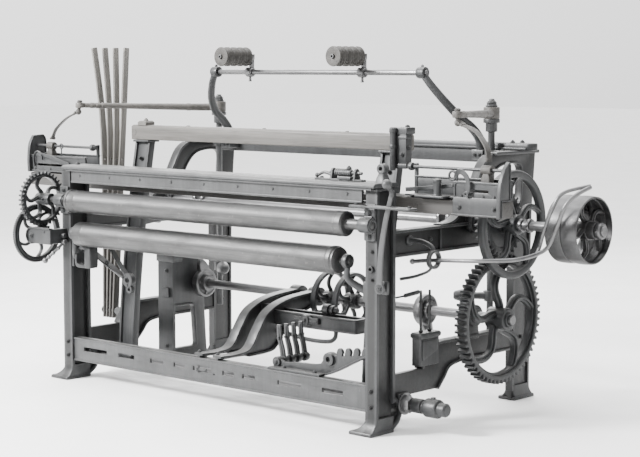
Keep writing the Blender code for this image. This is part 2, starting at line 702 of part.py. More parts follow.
# ---------------------------------------------------------------- crankshaft and drive
def crankshaft():
    pivot = (0, SHAFT_Y, CRANK_Z)
    half = 0.024
    throws = list(SWORD_X.values())
    stops = [-0.915, throws[0] - half, throws[0] + half, throws[1] - half, throws[1] + half, 1.485]
    parts = [
        drum("X", SHAFT_Y, CRANK_Z, SHAFT_R, low, high)
        for low, high in zip(stops[::2], stops[1::2])
    ]
    for x in throws:
        for web in (x - half, x + half):
            arm = [(SHAFT_Y - 0.024, CRANK_Z + 0.026), (SHAFT_Y + 0.024, CRANK_Z + 0.026),
                   (SHAFT_Y + 0.020, CRANK_Z - CRANK_THROW - 0.022),
                   (SHAFT_Y - 0.020, CRANK_Z - CRANK_THROW - 0.022)]
            parts.append(plate("X", arm, web - 0.009, web + 0.009))
        parts.append(drum("X", SHAFT_Y, CRANK_Z - CRANK_THROW, 0.0125, x - half, x + half))
    parts.append(drum("X", SHAFT_Y, CRANK_Z, 0.030, *SHAFT_COLLAR))
    finish("crankshaft", parts, STEEL, pivot)

    module = (CRANK_Z - TAPPET_Z) * 2 / (GEAR_TEETH + PINION_TEETH)
    small = module * PINION_TEETH / 2
    finish("crank_pinion", [
        plate("X", gear_outline(SHAFT_Y, CRANK_Z, PINION_TEETH, small + 0.8 * module, small - 1.1 * module),
              0.978, 1.030),
        drum("X", SHAFT_Y, CRANK_Z, 0.036, 0.930, 1.034),
    ], IRON, pivot, cuts=[
        bore("X", SHAFT_Y, CRANK_Z, SHAFT_R, 0.9, 1.1),
        tube("X", SHAFT_Y, CRANK_Z, 0.045, small - 0.024, 1.018, 1.040),
    ])

    finish("flywheel", [
        tube("X", SHAFT_Y, CRANK_Z, 0.182, 0.212, 1.048, 1.082),
        bush("X", SHAFT_Y, CRANK_Z, SHAFT_R, 0.038, 1.042, 1.096),
        *spokes("X", SHAFT_Y, CRANK_Z, 5, 0.030, 0.190, 1.056, 1.074, 0.024, 0.45, 0.2),
    ], IRON, pivot)
    belt_pulley("fast_pulley", *FAST_PULLEY, (1.276, 1.368), pivot)
    belt_pulley("loose_pulley", *LOOSE_PULLEY, (1.370, 1.452), pivot)


def belt_pulley(name, low, high, hub, pivot):
    """Flat rim, curved arms and a hub between its own two limits."""
    middle = (low + high) / 2
    rim = [(0.121, low), (0.130, low), (0.130, high), (0.121, high)]
    finish(name, [
        turned("X", SHAFT_Y, CRANK_Z, rim, 24, ring=True),
        bush("X", SHAFT_Y, CRANK_Z, SHAFT_R, 0.032, *hub),
        *spokes("X", SHAFT_Y, CRANK_Z, 5, 0.026, 0.125, middle - 0.009, middle + 0.009, 0.016, 0.5, 0.5),
    ], IRON, pivot)


def connecting_rod(tag, x):
    """Rod from a crank pin to the gap between a sword's lugs."""
    pin = (SHAFT_Y, CRANK_Z - CRANK_THROW)
    eye = (-0.140, 0.700)
    path = [(pin[0] - 0.020, pin[1] - 0.001), (eye[0] + 0.016, eye[1] + 0.001)]
    finish("connecting_rod_" + tag, [
        bush("X", *pin, 0.0125, 0.028, x - 0.011, x + 0.011),
        plate("X", ribbon(path, (0.028, 0.020)), x - 0.007, x + 0.007),
        drum("X", *eye, 0.022, x - 0.012, x + 0.012),
    ], STEEL, (x, *pin), cuts=[bore("X", *pin, 0.0125, x - 0.05, x + 0.05)])


crankshaft()
for sword_tag, sword_x in SWORD_X.items():
    connecting_rod(sword_tag, sword_x)


# ---------------------------------------------------------------- tappet shaft
def picking_tappet(side):
    """Disc with a nose that strikes the cone of a picking shaft."""
    x = side * 0.640
    turn = math.radians(100 if side < 0 else -80)
    nose = [
        (SHAFT_Y + math.cos(a + turn) * r, TAPPET_Z + math.sin(a + turn) * r)
        for a, r in ((-0.9, 0.056), (-0.35, 0.084), (0.0, 0.112), (0.22, 0.100), (0.42, 0.056))
    ]
    return [
        drum("X", SHAFT_Y, TAPPET_Z, 0.064, x - 0.016, x + 0.016),
        drum("X", SHAFT_Y, TAPPET_Z, 0.036, x - 0.032, x + 0.032),
        plate("X", nose, x - 0.012, x + 0.012),
    ]


def tappet_shaft():
    pivot = (0, SHAFT_Y, TAPPET_Z)
    finish("tappet_shaft", [
        drum("X", SHAFT_Y, TAPPET_Z, SHAFT_R, -0.915, 1.075), *picking_tappet(-1), *picking_tappet(1),
    ], STEEL, pivot)
    module = (CRANK_Z - TAPPET_Z) * 2 / (GEAR_TEETH + PINION_TEETH)
    pitch = module * GEAR_TEETH / 2
    finish("tappet_gear", [
        plate("X", gear_outline(SHAFT_Y, TAPPET_Z, GEAR_TEETH, pitch + 0.8 * module, pitch - 1.1 * module),
              0.980, 1.028, (circle(SHAFT_Y, TAPPET_Z, pitch - 0.034, 32),)),
        bush("X", SHAFT_Y, TAPPET_Z, SHAFT_R, 0.044, 0.968, 1.052),
        *spokes("X", SHAFT_Y, TAPPET_Z, 5, 0.036, pitch - 0.026, 0.992, 1.016, 0.028, 0.55, 0.1),
    ], IRON, pivot)
    for place, name in ((0.130, "tappet_wheel_1"), (0.250, "tappet_wheel_2")):
        finish(name, [
            tube("X", SHAFT_Y, TAPPET_Z, 0.104, 0.120, place - 0.014, place + 0.014),
            bush("X", SHAFT_Y, TAPPET_Z, SHAFT_R, 0.032, place - 0.026, place + 0.034),
            *spokes("X", SHAFT_Y, TAPPET_Z, 5, 0.026, 0.108, place - 0.008, place + 0.008, 0.014, 0.45, 0.4),
        ], IRON, pivot)


tappet_shaft()


# ---------------------------------------------------------------- middle of the loom
def shaft_bracket():
    """Pair of S-shaped cheeks from the front rail up to the tappet shaft, with a beam to the right."""
    top = smooth([(-0.476, 0.200), (-0.380, 0.197), (-0.300, 0.212), (-0.248, 0.280), (-0.185, 0.352),
                  (-0.070, 0.392), (SHAFT_Y - 0.030, 0.408)])
    low = smooth([(SHAFT_Y - 0.030, 0.352), (-0.050, 0.300), (-0.125, 0.215), (-0.200, 0.1866),
                  (-0.476, 0.1866)])
    parts, bores = [], []
    for place in (-0.060, 0.045):
        parts += [
            plate("X", top + low, place - 0.008, place + 0.008),
            plate("X", ribbon([(-0.474, 0.199), *top[1:]], 0.010), place - 0.022, place + 0.022),
            drum("X", SHAFT_Y, TAPPET_Z, 0.040, place - 0.024, place + 0.024),
        ]
    parts += [
        block((-0.064, 0.049), (-0.110, -0.090), (0.300, 0.372)),
        block((0.040, 0.500), (-0.140, -0.066), (0.300, 0.356)),
        block((0.175, 0.305), (-0.152, -0.130), (0.318, 0.348)),
        drum("Y", 0.240, 0.336, 0.020, -0.164, -0.140),
    ]
    bores.append(bore("X", SHAFT_Y, TAPPET_Z, SHAFT_R, -0.2, 0.2))
    finish("middle_bracket", parts, IRON, cuts=bores)


def shaft_standard():
    """Standard on the floor that holds the left part of the tappet shaft."""
    side = [(-0.080, 0.010), (0.190, 0.010), (0.170, 0.330), (0.165, 0.520), (-0.080, 0.520)]
    window = [(-0.030, 0.090), (0.120, 0.090), (0.105, 0.290), (-0.030, 0.290)]
    x = STANDARD_X
    finish("shaft_standard", [
        plate("X", side, x - 0.008, x + 0.008, (window,)),
        block((x - 0.016, x + 0.080), (-0.092, -0.078), (0.010, 0.520)),
        block((x - 0.016, x + 0.090), (-0.100, 0.170), (0, 0.014)),
        block((x - 0.022, x + 0.086), (-0.098, -0.040), (0.500, 0.530)),
        drum("X", SHAFT_Y, TAPPET_Z, 0.040, x - 0.016, x + 0.014),
    ], IRON, cuts=[bore("X", SHAFT_Y, TAPPET_Z, SHAFT_R, x - 0.1, x + 0.1)])


def treadles():
    """Upright levers side by side on one pin, and the comb-shaped stand that carries the pin."""
    pin_x, pin_z = TREADLE_X, TREADLE_Z
    lever = smooth([(pin_x, pin_z), (pin_x - 0.007, 0.255), (pin_x - 0.020, 0.300), (pin_x - 0.024, 0.352)])
    for i in range(TREADLE_COUNT):
        y = -0.400 + 0.042 * i
        finish(f"treadle_{i + 1}", [
            plate("Y", ribbon(lever, (0.026, 0.020)), y - 0.006, y + 0.006),
            drum("Y", pin_x, pin_z, 0.018, y - 0.010, y + 0.010),
        ], IRON, (pin_x, y, pin_z), cuts=[bore("Y", pin_x, pin_z, 0.009, y - 0.05, y + 0.05)])
    boss_x, boss_z = 0.620, 0.253
    teeth = []
    for i in range(4):
        u, rise = 0.652 + 0.042 * i, 0.005 * i
        teeth += [(u, 0.272 + rise), (u + 0.006, 0.296 + rise), (u + 0.020, 0.302 + rise),
                  (u + 0.030, 0.290 + rise), (u + 0.034, 0.274 + rise)]
    under = smooth([(0.330, 0.1866), (0.560, 0.1866), (0.640, 0.206), (0.720, 0.244), (0.790, 0.278),
                    (0.820, 0.285)])
    outline = [*under, (0.820, 0.296), *teeth[::-1], *circle(boss_x, boss_z, 0.028, 8, 0.7, 2.3),
               (0.560, 0.226), (0.470, 0.222), *circle(pin_x, pin_z, 0.020, 6, 0.7, 2.0), (0.322, 0.196)]
    finish("treadle_stand", [
        plate("Y", outline, -0.436, -0.424),
        block((0.330, 0.600), (-0.476, -0.424), (0.1866, 0.196)),
        tube("Y", boss_x, boss_z, 0.011, 0.026, -0.448, -0.414),
        drum("Y", pin_x, pin_z, 0.018, -0.446, -0.420),
        drum("Y", pin_x, pin_z, 0.009, -0.430, -0.252),
    ], IRON, cuts=[drum("Y", boss_x, boss_z, 0.0105, -0.5, -0.4)])


shaft_bracket()
shaft_standard()
treadles()


# ---------------------------------------------------------------- picking motion
def arm_tip(side):
    return (side * (PICK_X + PICK_ARM * math.sin(PICK_SWING)), PICK_Y - PICK_ARM * math.cos(PICK_SWING))


def picking(side, tag):
    x, y = side * PICK_X, PICK_Y
    pivot = (x, y, PICK_Z)
    arm_foot = 1.158
    finish("pick_shaft_" + tag, [
        turned("Z", x, y, [(0.014, 0.245), (0.014, arm_foot - 0.054), (0.024, arm_foot - 0.052),
                           (0.024, arm_foot - 0.018), (0.034, arm_foot - 0.016), (0.034, arm_foot - GAP),
                           (0.0135, arm_foot - GAP), (0.0135, 1.206), (0.022, 1.2066), (0.022, 1.222),
                           (0.012, 1.224), (0.012, 1.238)], 12),
        rod([(x, y, 0.430), (x - side * 0.070, y - 0.050, 0.430)], (0.016, 0.014), 10),
        rod([(x - side * 0.070, y - 0.050, 0.430), (x - side * 0.118, y - 0.084, 0.430)], (0.030, 0.018), 12),
    ], STEEL, pivot)
    tip = arm_tip(side)
    along = Vector((tip[0] - x, tip[1] - y)).normalized()
    near = (x + along.x * 0.018, y + along.y * 0.018, PICK_Z)
    finish("pick_arm_" + tag, [
        drum("Z", x, y, 0.032, arm_foot, 1.206 - GAP),
        rod([near, (x + along.x * 0.10, y + along.y * 0.10, PICK_Z), (*tip, PICK_Z + 0.014)], (0.017, 0.011)),
        tube("Z", tip[0], tip[1], 0.008, 0.020, PICK_Z + 0.002, PICK_Z + 0.026),
    ], WOOD, pivot, cuts=[
        bore("Z", x, y, 0.0135, 1.0, 1.3), drum("Z", tip[0], tip[1], 0.008, 1.1, 1.3),
    ])
    low = PICKER_TOP[side] + 0.010
    end = PICKER_X[side]
    out = end - tip[0]
    strap = smooth([(tip[0], tip[1] - 0.004, PICK_Z - 0.016), (tip[0] + 0.45 * out, tip[1] - 0.018, 1.138),
                    (end - 0.12 * out, -0.280, 1.090), (end, -0.293, low)])
    finish("pick_strap_" + tag, [
        rod(strap, (0.0115, 0.0090), 6), ball((tip[0], tip[1] - 0.005, PICK_Z - 0.020), 0.0135, 10),
    ], LEATHER, (*tip, PICK_Z))


picking(-1, "left")
picking(1, "right")


# ---------------------------------------------------------------- harness arch
def arch_bracket(side, name):
    path = smooth([
        (side * 0.725, 0.388, 1.012), (side * 0.723, 0.380, 1.070), (side * 0.716, 0.335, 1.120),
        (side * 0.702, 0.270, 1.165), (side * 0.672, 0.215, 1.225), (side * 0.630, 0.178, 1.290),
        (side * 0.600, ARCH_Y, 1.332), (side * 0.575, ARCH_Y, ARCH_Z),
    ])
    x = side * ARCH_X
    finish(name, [
        rod(path, (0.021, 0.014)),
        block((side * 0.725 - 0.026, side * 0.725 + 0.026), (0.360, 0.4234), (0.990, 1.0300)),
        drum("X", ARCH_Y, ARCH_Z, 0.022, x - 0.018, x + 0.018),
    ], IRON, cuts=[
        bore("X", ARCH_Y, ARCH_Z, 0.0115, x - 0.030, x + 0.030),
        block((-1, 1), (0.4114, 0.6), (1.0300, 1.2)),
        block((-1, 1), (0.4234, 0.6), (0.9, 1.2)),
    ])


def harness_rod():
    """Rod between the arch brackets, with a clamp, upright and stud for each grooved pulley."""
    y, z = ARCH_Y, ARCH_Z
    parts = [drum("X", y, z, 0.0115, -ARCH_X - 0.024, ARCH_X + 0.024)]
    for x in PULLEY_X:
        clamp_x = x + 0.022
        parts += [
            drum("X", y, z, 0.022, clamp_x - 0.014, clamp_x + 0.014),
            block((clamp_x - 0.008, clamp_x + 0.008), (y + 0.002, y + 0.018), (1.350, 1.420)),
            block((x - 0.010, clamp_x + 0.008), (y + 0.002, y + 0.018), (1.398, 1.424)),
            drum("Y", x, PULLEY_Z, 0.007, y - 0.168, y + 0.018),
            drum("Z", clamp_x, y, 0.006, 1.308, 1.330),
        ]
    finish("harness_rod", parts, STEEL)


def harness_pulley(index, x):
    """Pulley with four grooves, turning on its stud."""
    pitch, start = 0.040, ARCH_Y - 0.162
    profile = [(0.0082, start)]
    for groove in range(4):
        w = start + pitch * groove
        profile += [(0.042, w), (0.042, w + 0.007), (0.032, w + 0.014), (0.032, w + 0.026),
                    (0.042, w + 0.033)]
    profile += [(0.042, start + pitch * 4), (0.0082, start + pitch * 4)]
    wheel = turned("Y", x, PULLEY_Z, profile, 12, ring=True)
    finish(f"harness_pulley_{index}", [wheel], WOOD, (x, 0, PULLEY_Z))


arch_bracket(-1, "arch_bracket_left")
arch_bracket(1, "arch_bracket_right")
harness_rod()
for number, pulley_x in enumerate(PULLEY_X, 1):
    harness_pulley(number, pulley_x)


# ---------------------------------------------------------------- heald levers at the left side
def heald_levers():
    """Wooden slats side by side on one pin, fanned out towards the top."""
    for i in range(SLAT_COUNT):
        x = LEVER_X + SLAT_PITCH * i
        fan = i - 0.5 * (SLAT_COUNT - 1)
        side = smooth([
            (LEVER_Y, LEVER_Z - 0.035), (LEVER_Y + 0.015 + 0.008 * fan, 0.600),
            (LEVER_Y + 0.029 + 0.0235 * fan, 1.100), (LEVER_Y + 0.017 + 0.048 * fan, SLAT_TOP),
        ])
        pin = bore("X", LEVER_Y, LEVER_Z, LEVER_PIN_R, x - 0.05, x + 0.05)
        finish(f"heald_lever_{i + 1}", [plate("X", ribbon(side, (0.036, 0.030)), x - 0.005, x + 0.005)],
               WOOD, (x, LEVER_Y, LEVER_Z), cuts=[pin])


heald_levers()


# ---------------------------------------------------------------- starting handle and belt fork
def starting_gear():
    pivot = (HANDLE_X, -0.508, HANDLE_Z)
    bar = smooth([(HANDLE_X, HANDLE_Z), (0.930, 0.680), (0.950, 0.800), (0.975, 0.890), (0.985, 0.925)])
    finish("starting_handle", [
        plate("Y", ribbon(bar, (0.026, 0.016)), -0.512, -0.504),
        drum("Y", HANDLE_X, HANDLE_Z, 0.020, -0.512, -0.500),
        rod([(0.981, -0.508, 0.905), (0.992, -0.532, 0.930), (1.000, -0.556, 0.946)], (0.008, 0.007), 6),
        ball((1.002, -0.562, 0.950), 0.019, 12),
    ], STEEL, pivot, cuts=[bore("Y", HANDLE_X, HANDLE_Z, 0.008, -0.6, -0.4)])
    shank = smooth([
        (0.905, FORK_Y, 0.640), (FORK_X, FORK_Y, 0.652), (1.170, -0.286, 0.662), (1.260, -0.250, 0.666),
        (1.310, -0.190, 0.669), (1.327, -0.080, 0.682), (1.352, -0.045, 0.712), (1.386, -0.040, 0.787),
        (1.412, -0.034, 0.857), (1.440, -0.005, 0.900), (1.470, 0.050, 0.930),
    ])
    tine = smooth([
        (1.318, -0.075, 0.681), (1.312, -0.045, 0.705), (1.331, -0.040, 0.775), (1.364, -0.034, 0.858),
        (1.392, -0.010, 0.908), (1.468, 0.050, 0.938),
    ])
    finish("belt_fork", [
        rod(shank, 0.0075, 6), rod(tine, 0.0065, 6), ball(shank[0], 0.011, 8),
    ], STEEL, shank[0])


starting_gear()
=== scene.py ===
"""Looks of the overpick power loom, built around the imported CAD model."""

import math

import bmesh
import bpy
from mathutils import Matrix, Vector


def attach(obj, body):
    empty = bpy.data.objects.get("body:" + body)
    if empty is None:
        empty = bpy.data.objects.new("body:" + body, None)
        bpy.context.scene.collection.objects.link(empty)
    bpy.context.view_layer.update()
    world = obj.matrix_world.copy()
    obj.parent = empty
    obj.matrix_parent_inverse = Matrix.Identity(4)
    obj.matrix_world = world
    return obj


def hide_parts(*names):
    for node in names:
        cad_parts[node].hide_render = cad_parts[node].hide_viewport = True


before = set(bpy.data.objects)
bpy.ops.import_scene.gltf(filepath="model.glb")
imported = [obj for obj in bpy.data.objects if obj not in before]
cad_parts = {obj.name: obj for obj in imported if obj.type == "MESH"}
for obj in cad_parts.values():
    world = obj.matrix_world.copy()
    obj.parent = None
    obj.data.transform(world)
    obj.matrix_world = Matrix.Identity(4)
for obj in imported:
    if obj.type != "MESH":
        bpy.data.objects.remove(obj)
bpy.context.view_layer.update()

# ---------------------------------------------------------------- sizes shared with the CAD part
FRAME_X, WEB, FLANGE = 0.8675, 0.012, 0.0275
POST_FRONT, POST_BACK, POST_TOP = -0.487, -0.378, 0.926
REAR_FRONT, REAR_BACK, FRAME_TOP = 0.4, 0.52, 1.03
RAIL_LOW, RAIL_HIGH = 0.66, 0.76
SHAFT_Y, CRANK_Z, TAPPET_Z, SHAFT_R = 0.13, 0.76, 0.385, 0.019
CRANK_THROW = 0.03
SWORDS = {"left": -0.66, "right": 0.74}
ROCKER_Y, ROCKER_Z, ROCKER_R = -0.32, 0.1, 0.015
ROLLER_Y, TAKE_UP_Z, CLOTH_Z = -0.51, 0.79, 0.65
GEAR_TEETH, PINION_TEETH = 60, 30
MODULE = (CRANK_Z - TAPPET_Z) * 2 / (GEAR_TEETH + PINION_TEETH)
PICK_X, PICK_Y, PICK_Z, PICK_R = 0.785, 0.375, 1.18, 0.014
PICK_ARM, PICK_SWING = 0.67, math.radians(25)
LEVER_X, LEVER_Y, LEVER_Z = -1.118, -0.045, 0.235
FORK_X, FORK_Y, FORK_Z = 1.0065, -0.29, 0.655
HANDLE_X, HANDLE_Z = 0.925, 0.56
ARCH_X, ARCH_Y, ARCH_Z = 0.59, 0.165, 1.345
PULLEY_X, PULLEY_Z = (-0.4, 0.25), 1.412
STANDARD_X = -0.692
PICKER_X, PICKER_TOP = {-1: -1.19, 1: 1.255}, {-1: 1.026, 1: 1.016}
FAST_PULLEY, LOOSE_PULLEY = (1.3, 1.368), (1.37, 1.438)
GAP = 0.0006  # keeps pieces that touch from sharing a plane
FRONT_RAIL = (0.083, 0.186)
STAND_Z = FRONT_RAIL[1] + GAP
BEAM_TOP, BOX_FLOOR = 0.944, 0.8925
ROD_EYE = (-0.14, 0.7)
CRANK_LINE, TAPPET_LINE = ("X", SHAFT_Y, CRANK_Z), ("X", SHAFT_Y, TAPPET_Z)
HUB_BORE, BEARING_BORE = SHAFT_R + 0.0008, SHAFT_R + 0.0012
BRACKET_BORE, TIGHT_BORE = SHAFT_R + 0.001, SHAFT_R - 0.001
SHAFT_LEFT = -0.915
TAKE_UP_DROP, LAY_DEPTH, TREADLE_PITCH = 0.155, 0.072, 0.042


# ---------------------------------------------------------------- curves
def spot(axis, u, v, w):
    if axis == "X":
        return Vector((w, u, v))
    return Vector((u, w, v)) if axis == "Y" else Vector((u, v, w))


def smooth(points, steps=8):
    """Points on a smooth curve through the given ones."""
    ends = [points[0], *points, points[-1]]
    path = []
    for before, start, end, after in zip(ends, ends[1:], ends[2:], ends[3:]):
        for k in range(steps):
            t = k / steps
            path.append(tuple(0.5 * (2 * b + (c - a) * t + (2 * a - 5 * b + 4 * c - d) * t * t + (
                3 * b - a - 3 * c + d) * t ** 3) for a, b, c, d in zip(before, start, end, after)))
    path.append(tuple(points[-1]))
    return path


def eased(points, size, closed=True, steps=3):
    """The same line with its corners rounded off."""
    last = len(points) - 1
    path = []
    for i, point in enumerate(points):
        if not closed and i in (0, last):
            path.append(tuple(point))
            continue
        here = Vector(point)
        back, ahead = Vector(points[i - 1]) - here, Vector(points[(i + 1) % (last + 1)]) - here
        if back.length < 1e-7 or ahead.length < 1e-7 or back.angle(ahead) > 2.75:
            path.append(tuple(point))
            continue
        reach = min(size, 0.45 * back.length, 0.45 * ahead.length)
        start, end = here + back.normalized() * reach, here + ahead.normalized() * reach
        for k in range(steps + 1):
            t = k / steps
            path.append(tuple((1 - t) ** 2 * start + 2 * t * (1 - t) * here + t * t * end))
    return path


def pane(u, v, ease, steps=3):
    """Rectangle with rounded corners; u and v are (low, high) pairs."""
    return eased([(u[0], v[0]), (u[1], v[0]), (u[1], v[1]), (u[0], v[1])], ease, True, steps)


def circle(u, v, radius, sides=40, start=0.0, sweep=2 * math.pi):
    count = sides if sweep > 6.28 else sides + 1
    turns = [start + sweep * i / sides for i in range(count)]
    return [(u + radius * math.cos(a), v + radius * math.sin(a)) for a in turns]


def ribbon(path, width):
    """Outline of a bar of the given width (or start and end widths) along a plane path."""
    start, end = width if isinstance(width, tuple) else (width, width)
    left, right = [], []
    last = len(path) - 1
    for i, (u, v) in enumerate(path):
        ahead, behind = path[min(i + 1, last)], path[max(i - 1, 0)]
        along = Vector((ahead[0] - behind[0], ahead[1] - behind[1])).normalized()
        half = (start + (end - start) * i / last) / 2
        left.append((u - along.y * half, v + along.x * half))
        right.append((u + along.y * half, v - along.x * half))
    return left + right[::-1]


def inset(loop, amount):
    """A closed loop moved inwards by an amount."""
    area = sum(a[0] * b[1] - b[0] * a[1] for a, b in zip(loop, loop[1:] + loop[:1]))
    turn = amount if area > 0 else -amount
    moved = []
    for i, point in enumerate(loop):
        one = (Vector(point) - Vector(loop[i - 1])).normalized()
        two = (Vector(loop[(i + 1) % len(loop)]) - Vector(point)).normalized()
        across = Vector((-one.y - two.y, one.x + two.x))
        scale = across.length
        across = across / scale if scale > 0.2 else Vector((-one.y, one.x))
        stretch = min(2.0, 2 / scale) if scale > 0.2 else 1.0
        moved.append(tuple(Vector(point) + across * turn * stretch))
    return moved


# ---------------------------------------------------------------- solids
def bridge(bm, rows):
    """Faces between rows of vertices that have the same length."""
    for one, two in zip(rows, rows[1:]):
        for i in range(len(one)):
            bm.faces.new((one[i - 1], one[i], two[i], two[i - 1]))


class Shape:
    """Collects closed solids with eased edges into one mesh."""

    def __init__(self):
        self.bm = bmesh.new()

    def keep(self, bm):
        bmesh.ops.recalc_face_normals(bm, faces=bm.faces)
        mesh = bpy.data.meshes.new("solid")
        bm.to_mesh(mesh)
        bm.free()
        self.bm.from_mesh(mesh)
        bpy.data.meshes.remove(mesh)

    def skin(self, rings, closed=False, caps=True):
        """Solid through a list of rings with the same number of points."""
        bm = bmesh.new()
        rows = [[bm.verts.new(p) for p in ring] for ring in rings]
        if closed:
            rows.append(rows[0])
        elif caps:
            bm.faces.new(rows[0])
            bm.faces.new(rows[-1])
        bridge(bm, rows)
        self.keep(bm)

    def plate(self, axis, outline, low, high, holes=(), edge=0.002):
        """Flat plate with rounded edges."""
        edge = min(edge, 0.45 * (high - low))
        steps = [(edge, low), (0.29 * edge, low + 0.29 * edge), (0, low + edge), (0, high - edge),
            (0.29 * edge, high - 0.29 * edge), (edge, high)]
        bm = bmesh.new()
        caps = ([], [])
        for k, loop in enumerate((outline, *holes)):
            sign = -1 if k else 1
            rows = []
            for amount, w in steps:
                ring = inset(list(loop), sign * amount) if amount else loop
                rows.append([bm.verts.new(spot(axis, u, v, w)) for u, v in ring])
            bridge(bm, rows)
            for side, row in ((0, rows[0]), (1, rows[-1])):
                caps[side].extend(bm.edges.get((row[i - 1], row[i])) for i in range(len(row)))
        for edges in caps:
            bmesh.ops.triangle_fill(bm, use_beauty=True, edges=edges)
        self.keep(bm)

    def lip(self, axis, loop, width, low, high, edge=0.002):
        """Raised band around a closed line."""
        self.plate(axis, inset(loop, -width / 2), low, high, (inset(loop, width / 2),), edge)

    def box(self, x, y, z, edge=0.002):
        self.plate("Z", [(x[0], y[0]), (x[1], y[0]), (x[1], y[1]), (x[0], y[1])], z[0], z[1], (), edge)

    def turn(self, axis, u, v, profile, sides=40, ring=False, edge=0.002):
        """Turned solid; profile is a list of (radius, place along the axis)."""
        line = eased(profile, edge, ring, 2)
        bm = bmesh.new()
        rows = []
        for radius, w in line:
            if radius < 1e-6:
                rows.append([bm.verts.new(spot(axis, u, v, w))])
                continue
            rows.append([bm.verts.new(spot(axis, a, b, w)) for a, b in circle(u, v, radius, sides)])
        pairs = list(zip(rows, rows[1:]))
        if ring:
            pairs.append((rows[-1], rows[0]))
        else:
            for end in (rows[0], rows[-1]):
                if len(end) > 1:
                    bm.faces.new(end)
        for one, two in pairs:
            for i in range(sides):
                start = [one[0]] if len(one) == 1 else [one[i - 1], one[i]]
                end = [two[0]] if len(two) == 1 else [two[i], two[i - 1]]
                bm.faces.new(start + end)
        self.keep(bm)

    def drum(self, axis, u, v, radius, low, high, edge=0.002, sides=0):
        """Round bar with eased ends."""
        edge = min(edge, 0.45 * radius, 0.45 * (high - low))
        self.turn(axis, u, v, [(radius - edge, low), (radius, low + edge), (radius, high - edge),
            (radius - edge, high)], sides or (24 if radius < 0.03 else 40), edge=edge)

    def tube(self, axis, u, v, inner, outer, low, high, edge=0.002, sides=40):
        self.turn(axis, u, v, [(inner, low), (outer, low), (outer, high), (inner, high)], sides, True, edge)

    def rod(self, path, radius, sides=14, flat=1.0):
        """Bar along a path in space; radius may be (start, end), and flat squashes it one way."""
        start, end = radius if isinstance(radius, tuple) else (radius, radius)
        points = [Vector(p) for p in path]
        last = len(points) - 1
        across = None
        rings = []
        for i, point in enumerate(points):
            along = (points[min(i + 1, last)] - points[max(i - 1, 0)]).normalized()
            if across is None:
                across = along.orthogonal().normalized()
            across = (across - along * across.dot(along)).normalized()
            other = along.cross(across)
            size = start + (end - start) * i / last
            turns = [2 * math.pi * k / sides for k in range(sides)]
            ring = [size * (math.cos(a) * across + flat * math.sin(a) * other) for a in turns]
            if i in (0, last):
                out = along * (size * 0.3 * (1 if i else -1))
                tip = [point + 0.6 * p + out for p in ring]
                full = [point + p for p in ring]
                rings += [full, tip] if i else [tip, full]
            else:
                rings.append([point + p for p in ring])
        self.skin(rings)

    def strap(self, path, width, thick, side=(0, 1, 0)):
        """Flat strip along a path, lying square to the side direction."""
        points = [Vector(p) for p in path]
        last = len(points) - 1
        rings = []
        ease = 0.3 * min(width, thick)
        for i, point in enumerate(points):
            along = (points[min(i + 1, last)] - points[max(i - 1, 0)]).normalized()
            other = (Vector(side) - along * Vector(side).dot(along)).normalized()
            up = along.cross(other)
            a, b = width / 2, thick / 2
            corners = [(-a + ease, -b), (a - ease, -b), (a, -b + ease), (a, b - ease), (a - ease, b),
                (-a + ease, b), (-a, b - ease), (-a, -b + ease)]
            rings.append([point + other * p + up * q for p, q in corners])
        self.skin(rings)

    def loft(self, levels, ease=0.006):
        """Solid through rectangles (x0, x1, y0, y1, z) with rounded corners."""
        rings = []
        for x0, x1, y0, y1, z in levels:
            loop = pane((x0, x1), (y0, y1), ease)
            rings.append([(x, y, z) for x, y in loop])
        self.skin(rings)

    def ball(self, centre, radius, sides=24):
        x, y, z = centre
        turns = [math.pi * i / 12 for i in range(13)]
        profile = [(radius * math.sin(a), z - radius * math.cos(a)) for a in turns]
        profile[0], profile[-1] = (0, z - radius), (0, z + radius)
        self.turn("Z", x, y, profile, sides, edge=0)

    def nut(self, axis, u, v, size, base, height, stud=0.0, sides=6):
        """Nut or bolt head standing on a washer; height is negative when it points down the axis."""
        sign = 1 if height > 0 else -1
        low, high = sorted((base - sign * 0.001, base + sign * 0.002))
        self.drum(axis, u, v, size * 1.25, low, high, 0.0006)
        tall = base + height
        loop = circle(u, v, size, sides, math.pi / sides)
        rings = [[spot(axis, p, q, base) for p, q in loop],
            [spot(axis, p, q, tall - 0.25 * height) for p, q in loop],
            [spot(axis, p, q, tall) for p, q in circle(u, v, size * 0.82, sides, math.pi / sides)]]
        self.skin(rings)
        if stud:
            low, high = sorted((base, tall + sign * stud))
            self.drum(axis, u, v, size * 0.5, low, high, 0.001)

    def arms(self, axis, u, v, count, inner, outer, low, high, width, sweep=0.5, turn=0.0, rib=0.0):
        """Curved arms from a hub to a rim, thicker along their middle when a rib is given."""
        for arm in range(count):
            path = []
            for i in range(13):
                t = i / 12
                a = turn + 2 * math.pi * arm / count + sweep * math.sin(math.pi * t) * (1 - 0.4 * t)
                radius = inner + (outer - inner) * t
                path.append((u + radius * math.cos(a), v + radius * math.sin(a)))
            self.plate(axis, ribbon(path, (width * 1.2, width * 0.9)), low, high, (), 0.003)
            if rib:
                self.plate(axis, ribbon(path, width * 0.35), low - rib, high + rib, (), 0.002)

    def done(self, node, body, material):
        """Make the object, ride it on its body and let it stand for its CAD node."""
        mesh = bpy.data.meshes.new("vis_" + node)
        self.bm.to_mesh(mesh)
        self.bm.free()
        for face in mesh.polygons:
            face.use_smooth = True
        mesh.set_sharp_from_angle(angle=math.radians(38))
        made = bpy.data.objects.new("vis_" + node, mesh)
        bpy.context.scene.collection.objects.link(made)
        mesh.materials.append(material)
        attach(made, body)
        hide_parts(node)
        return made


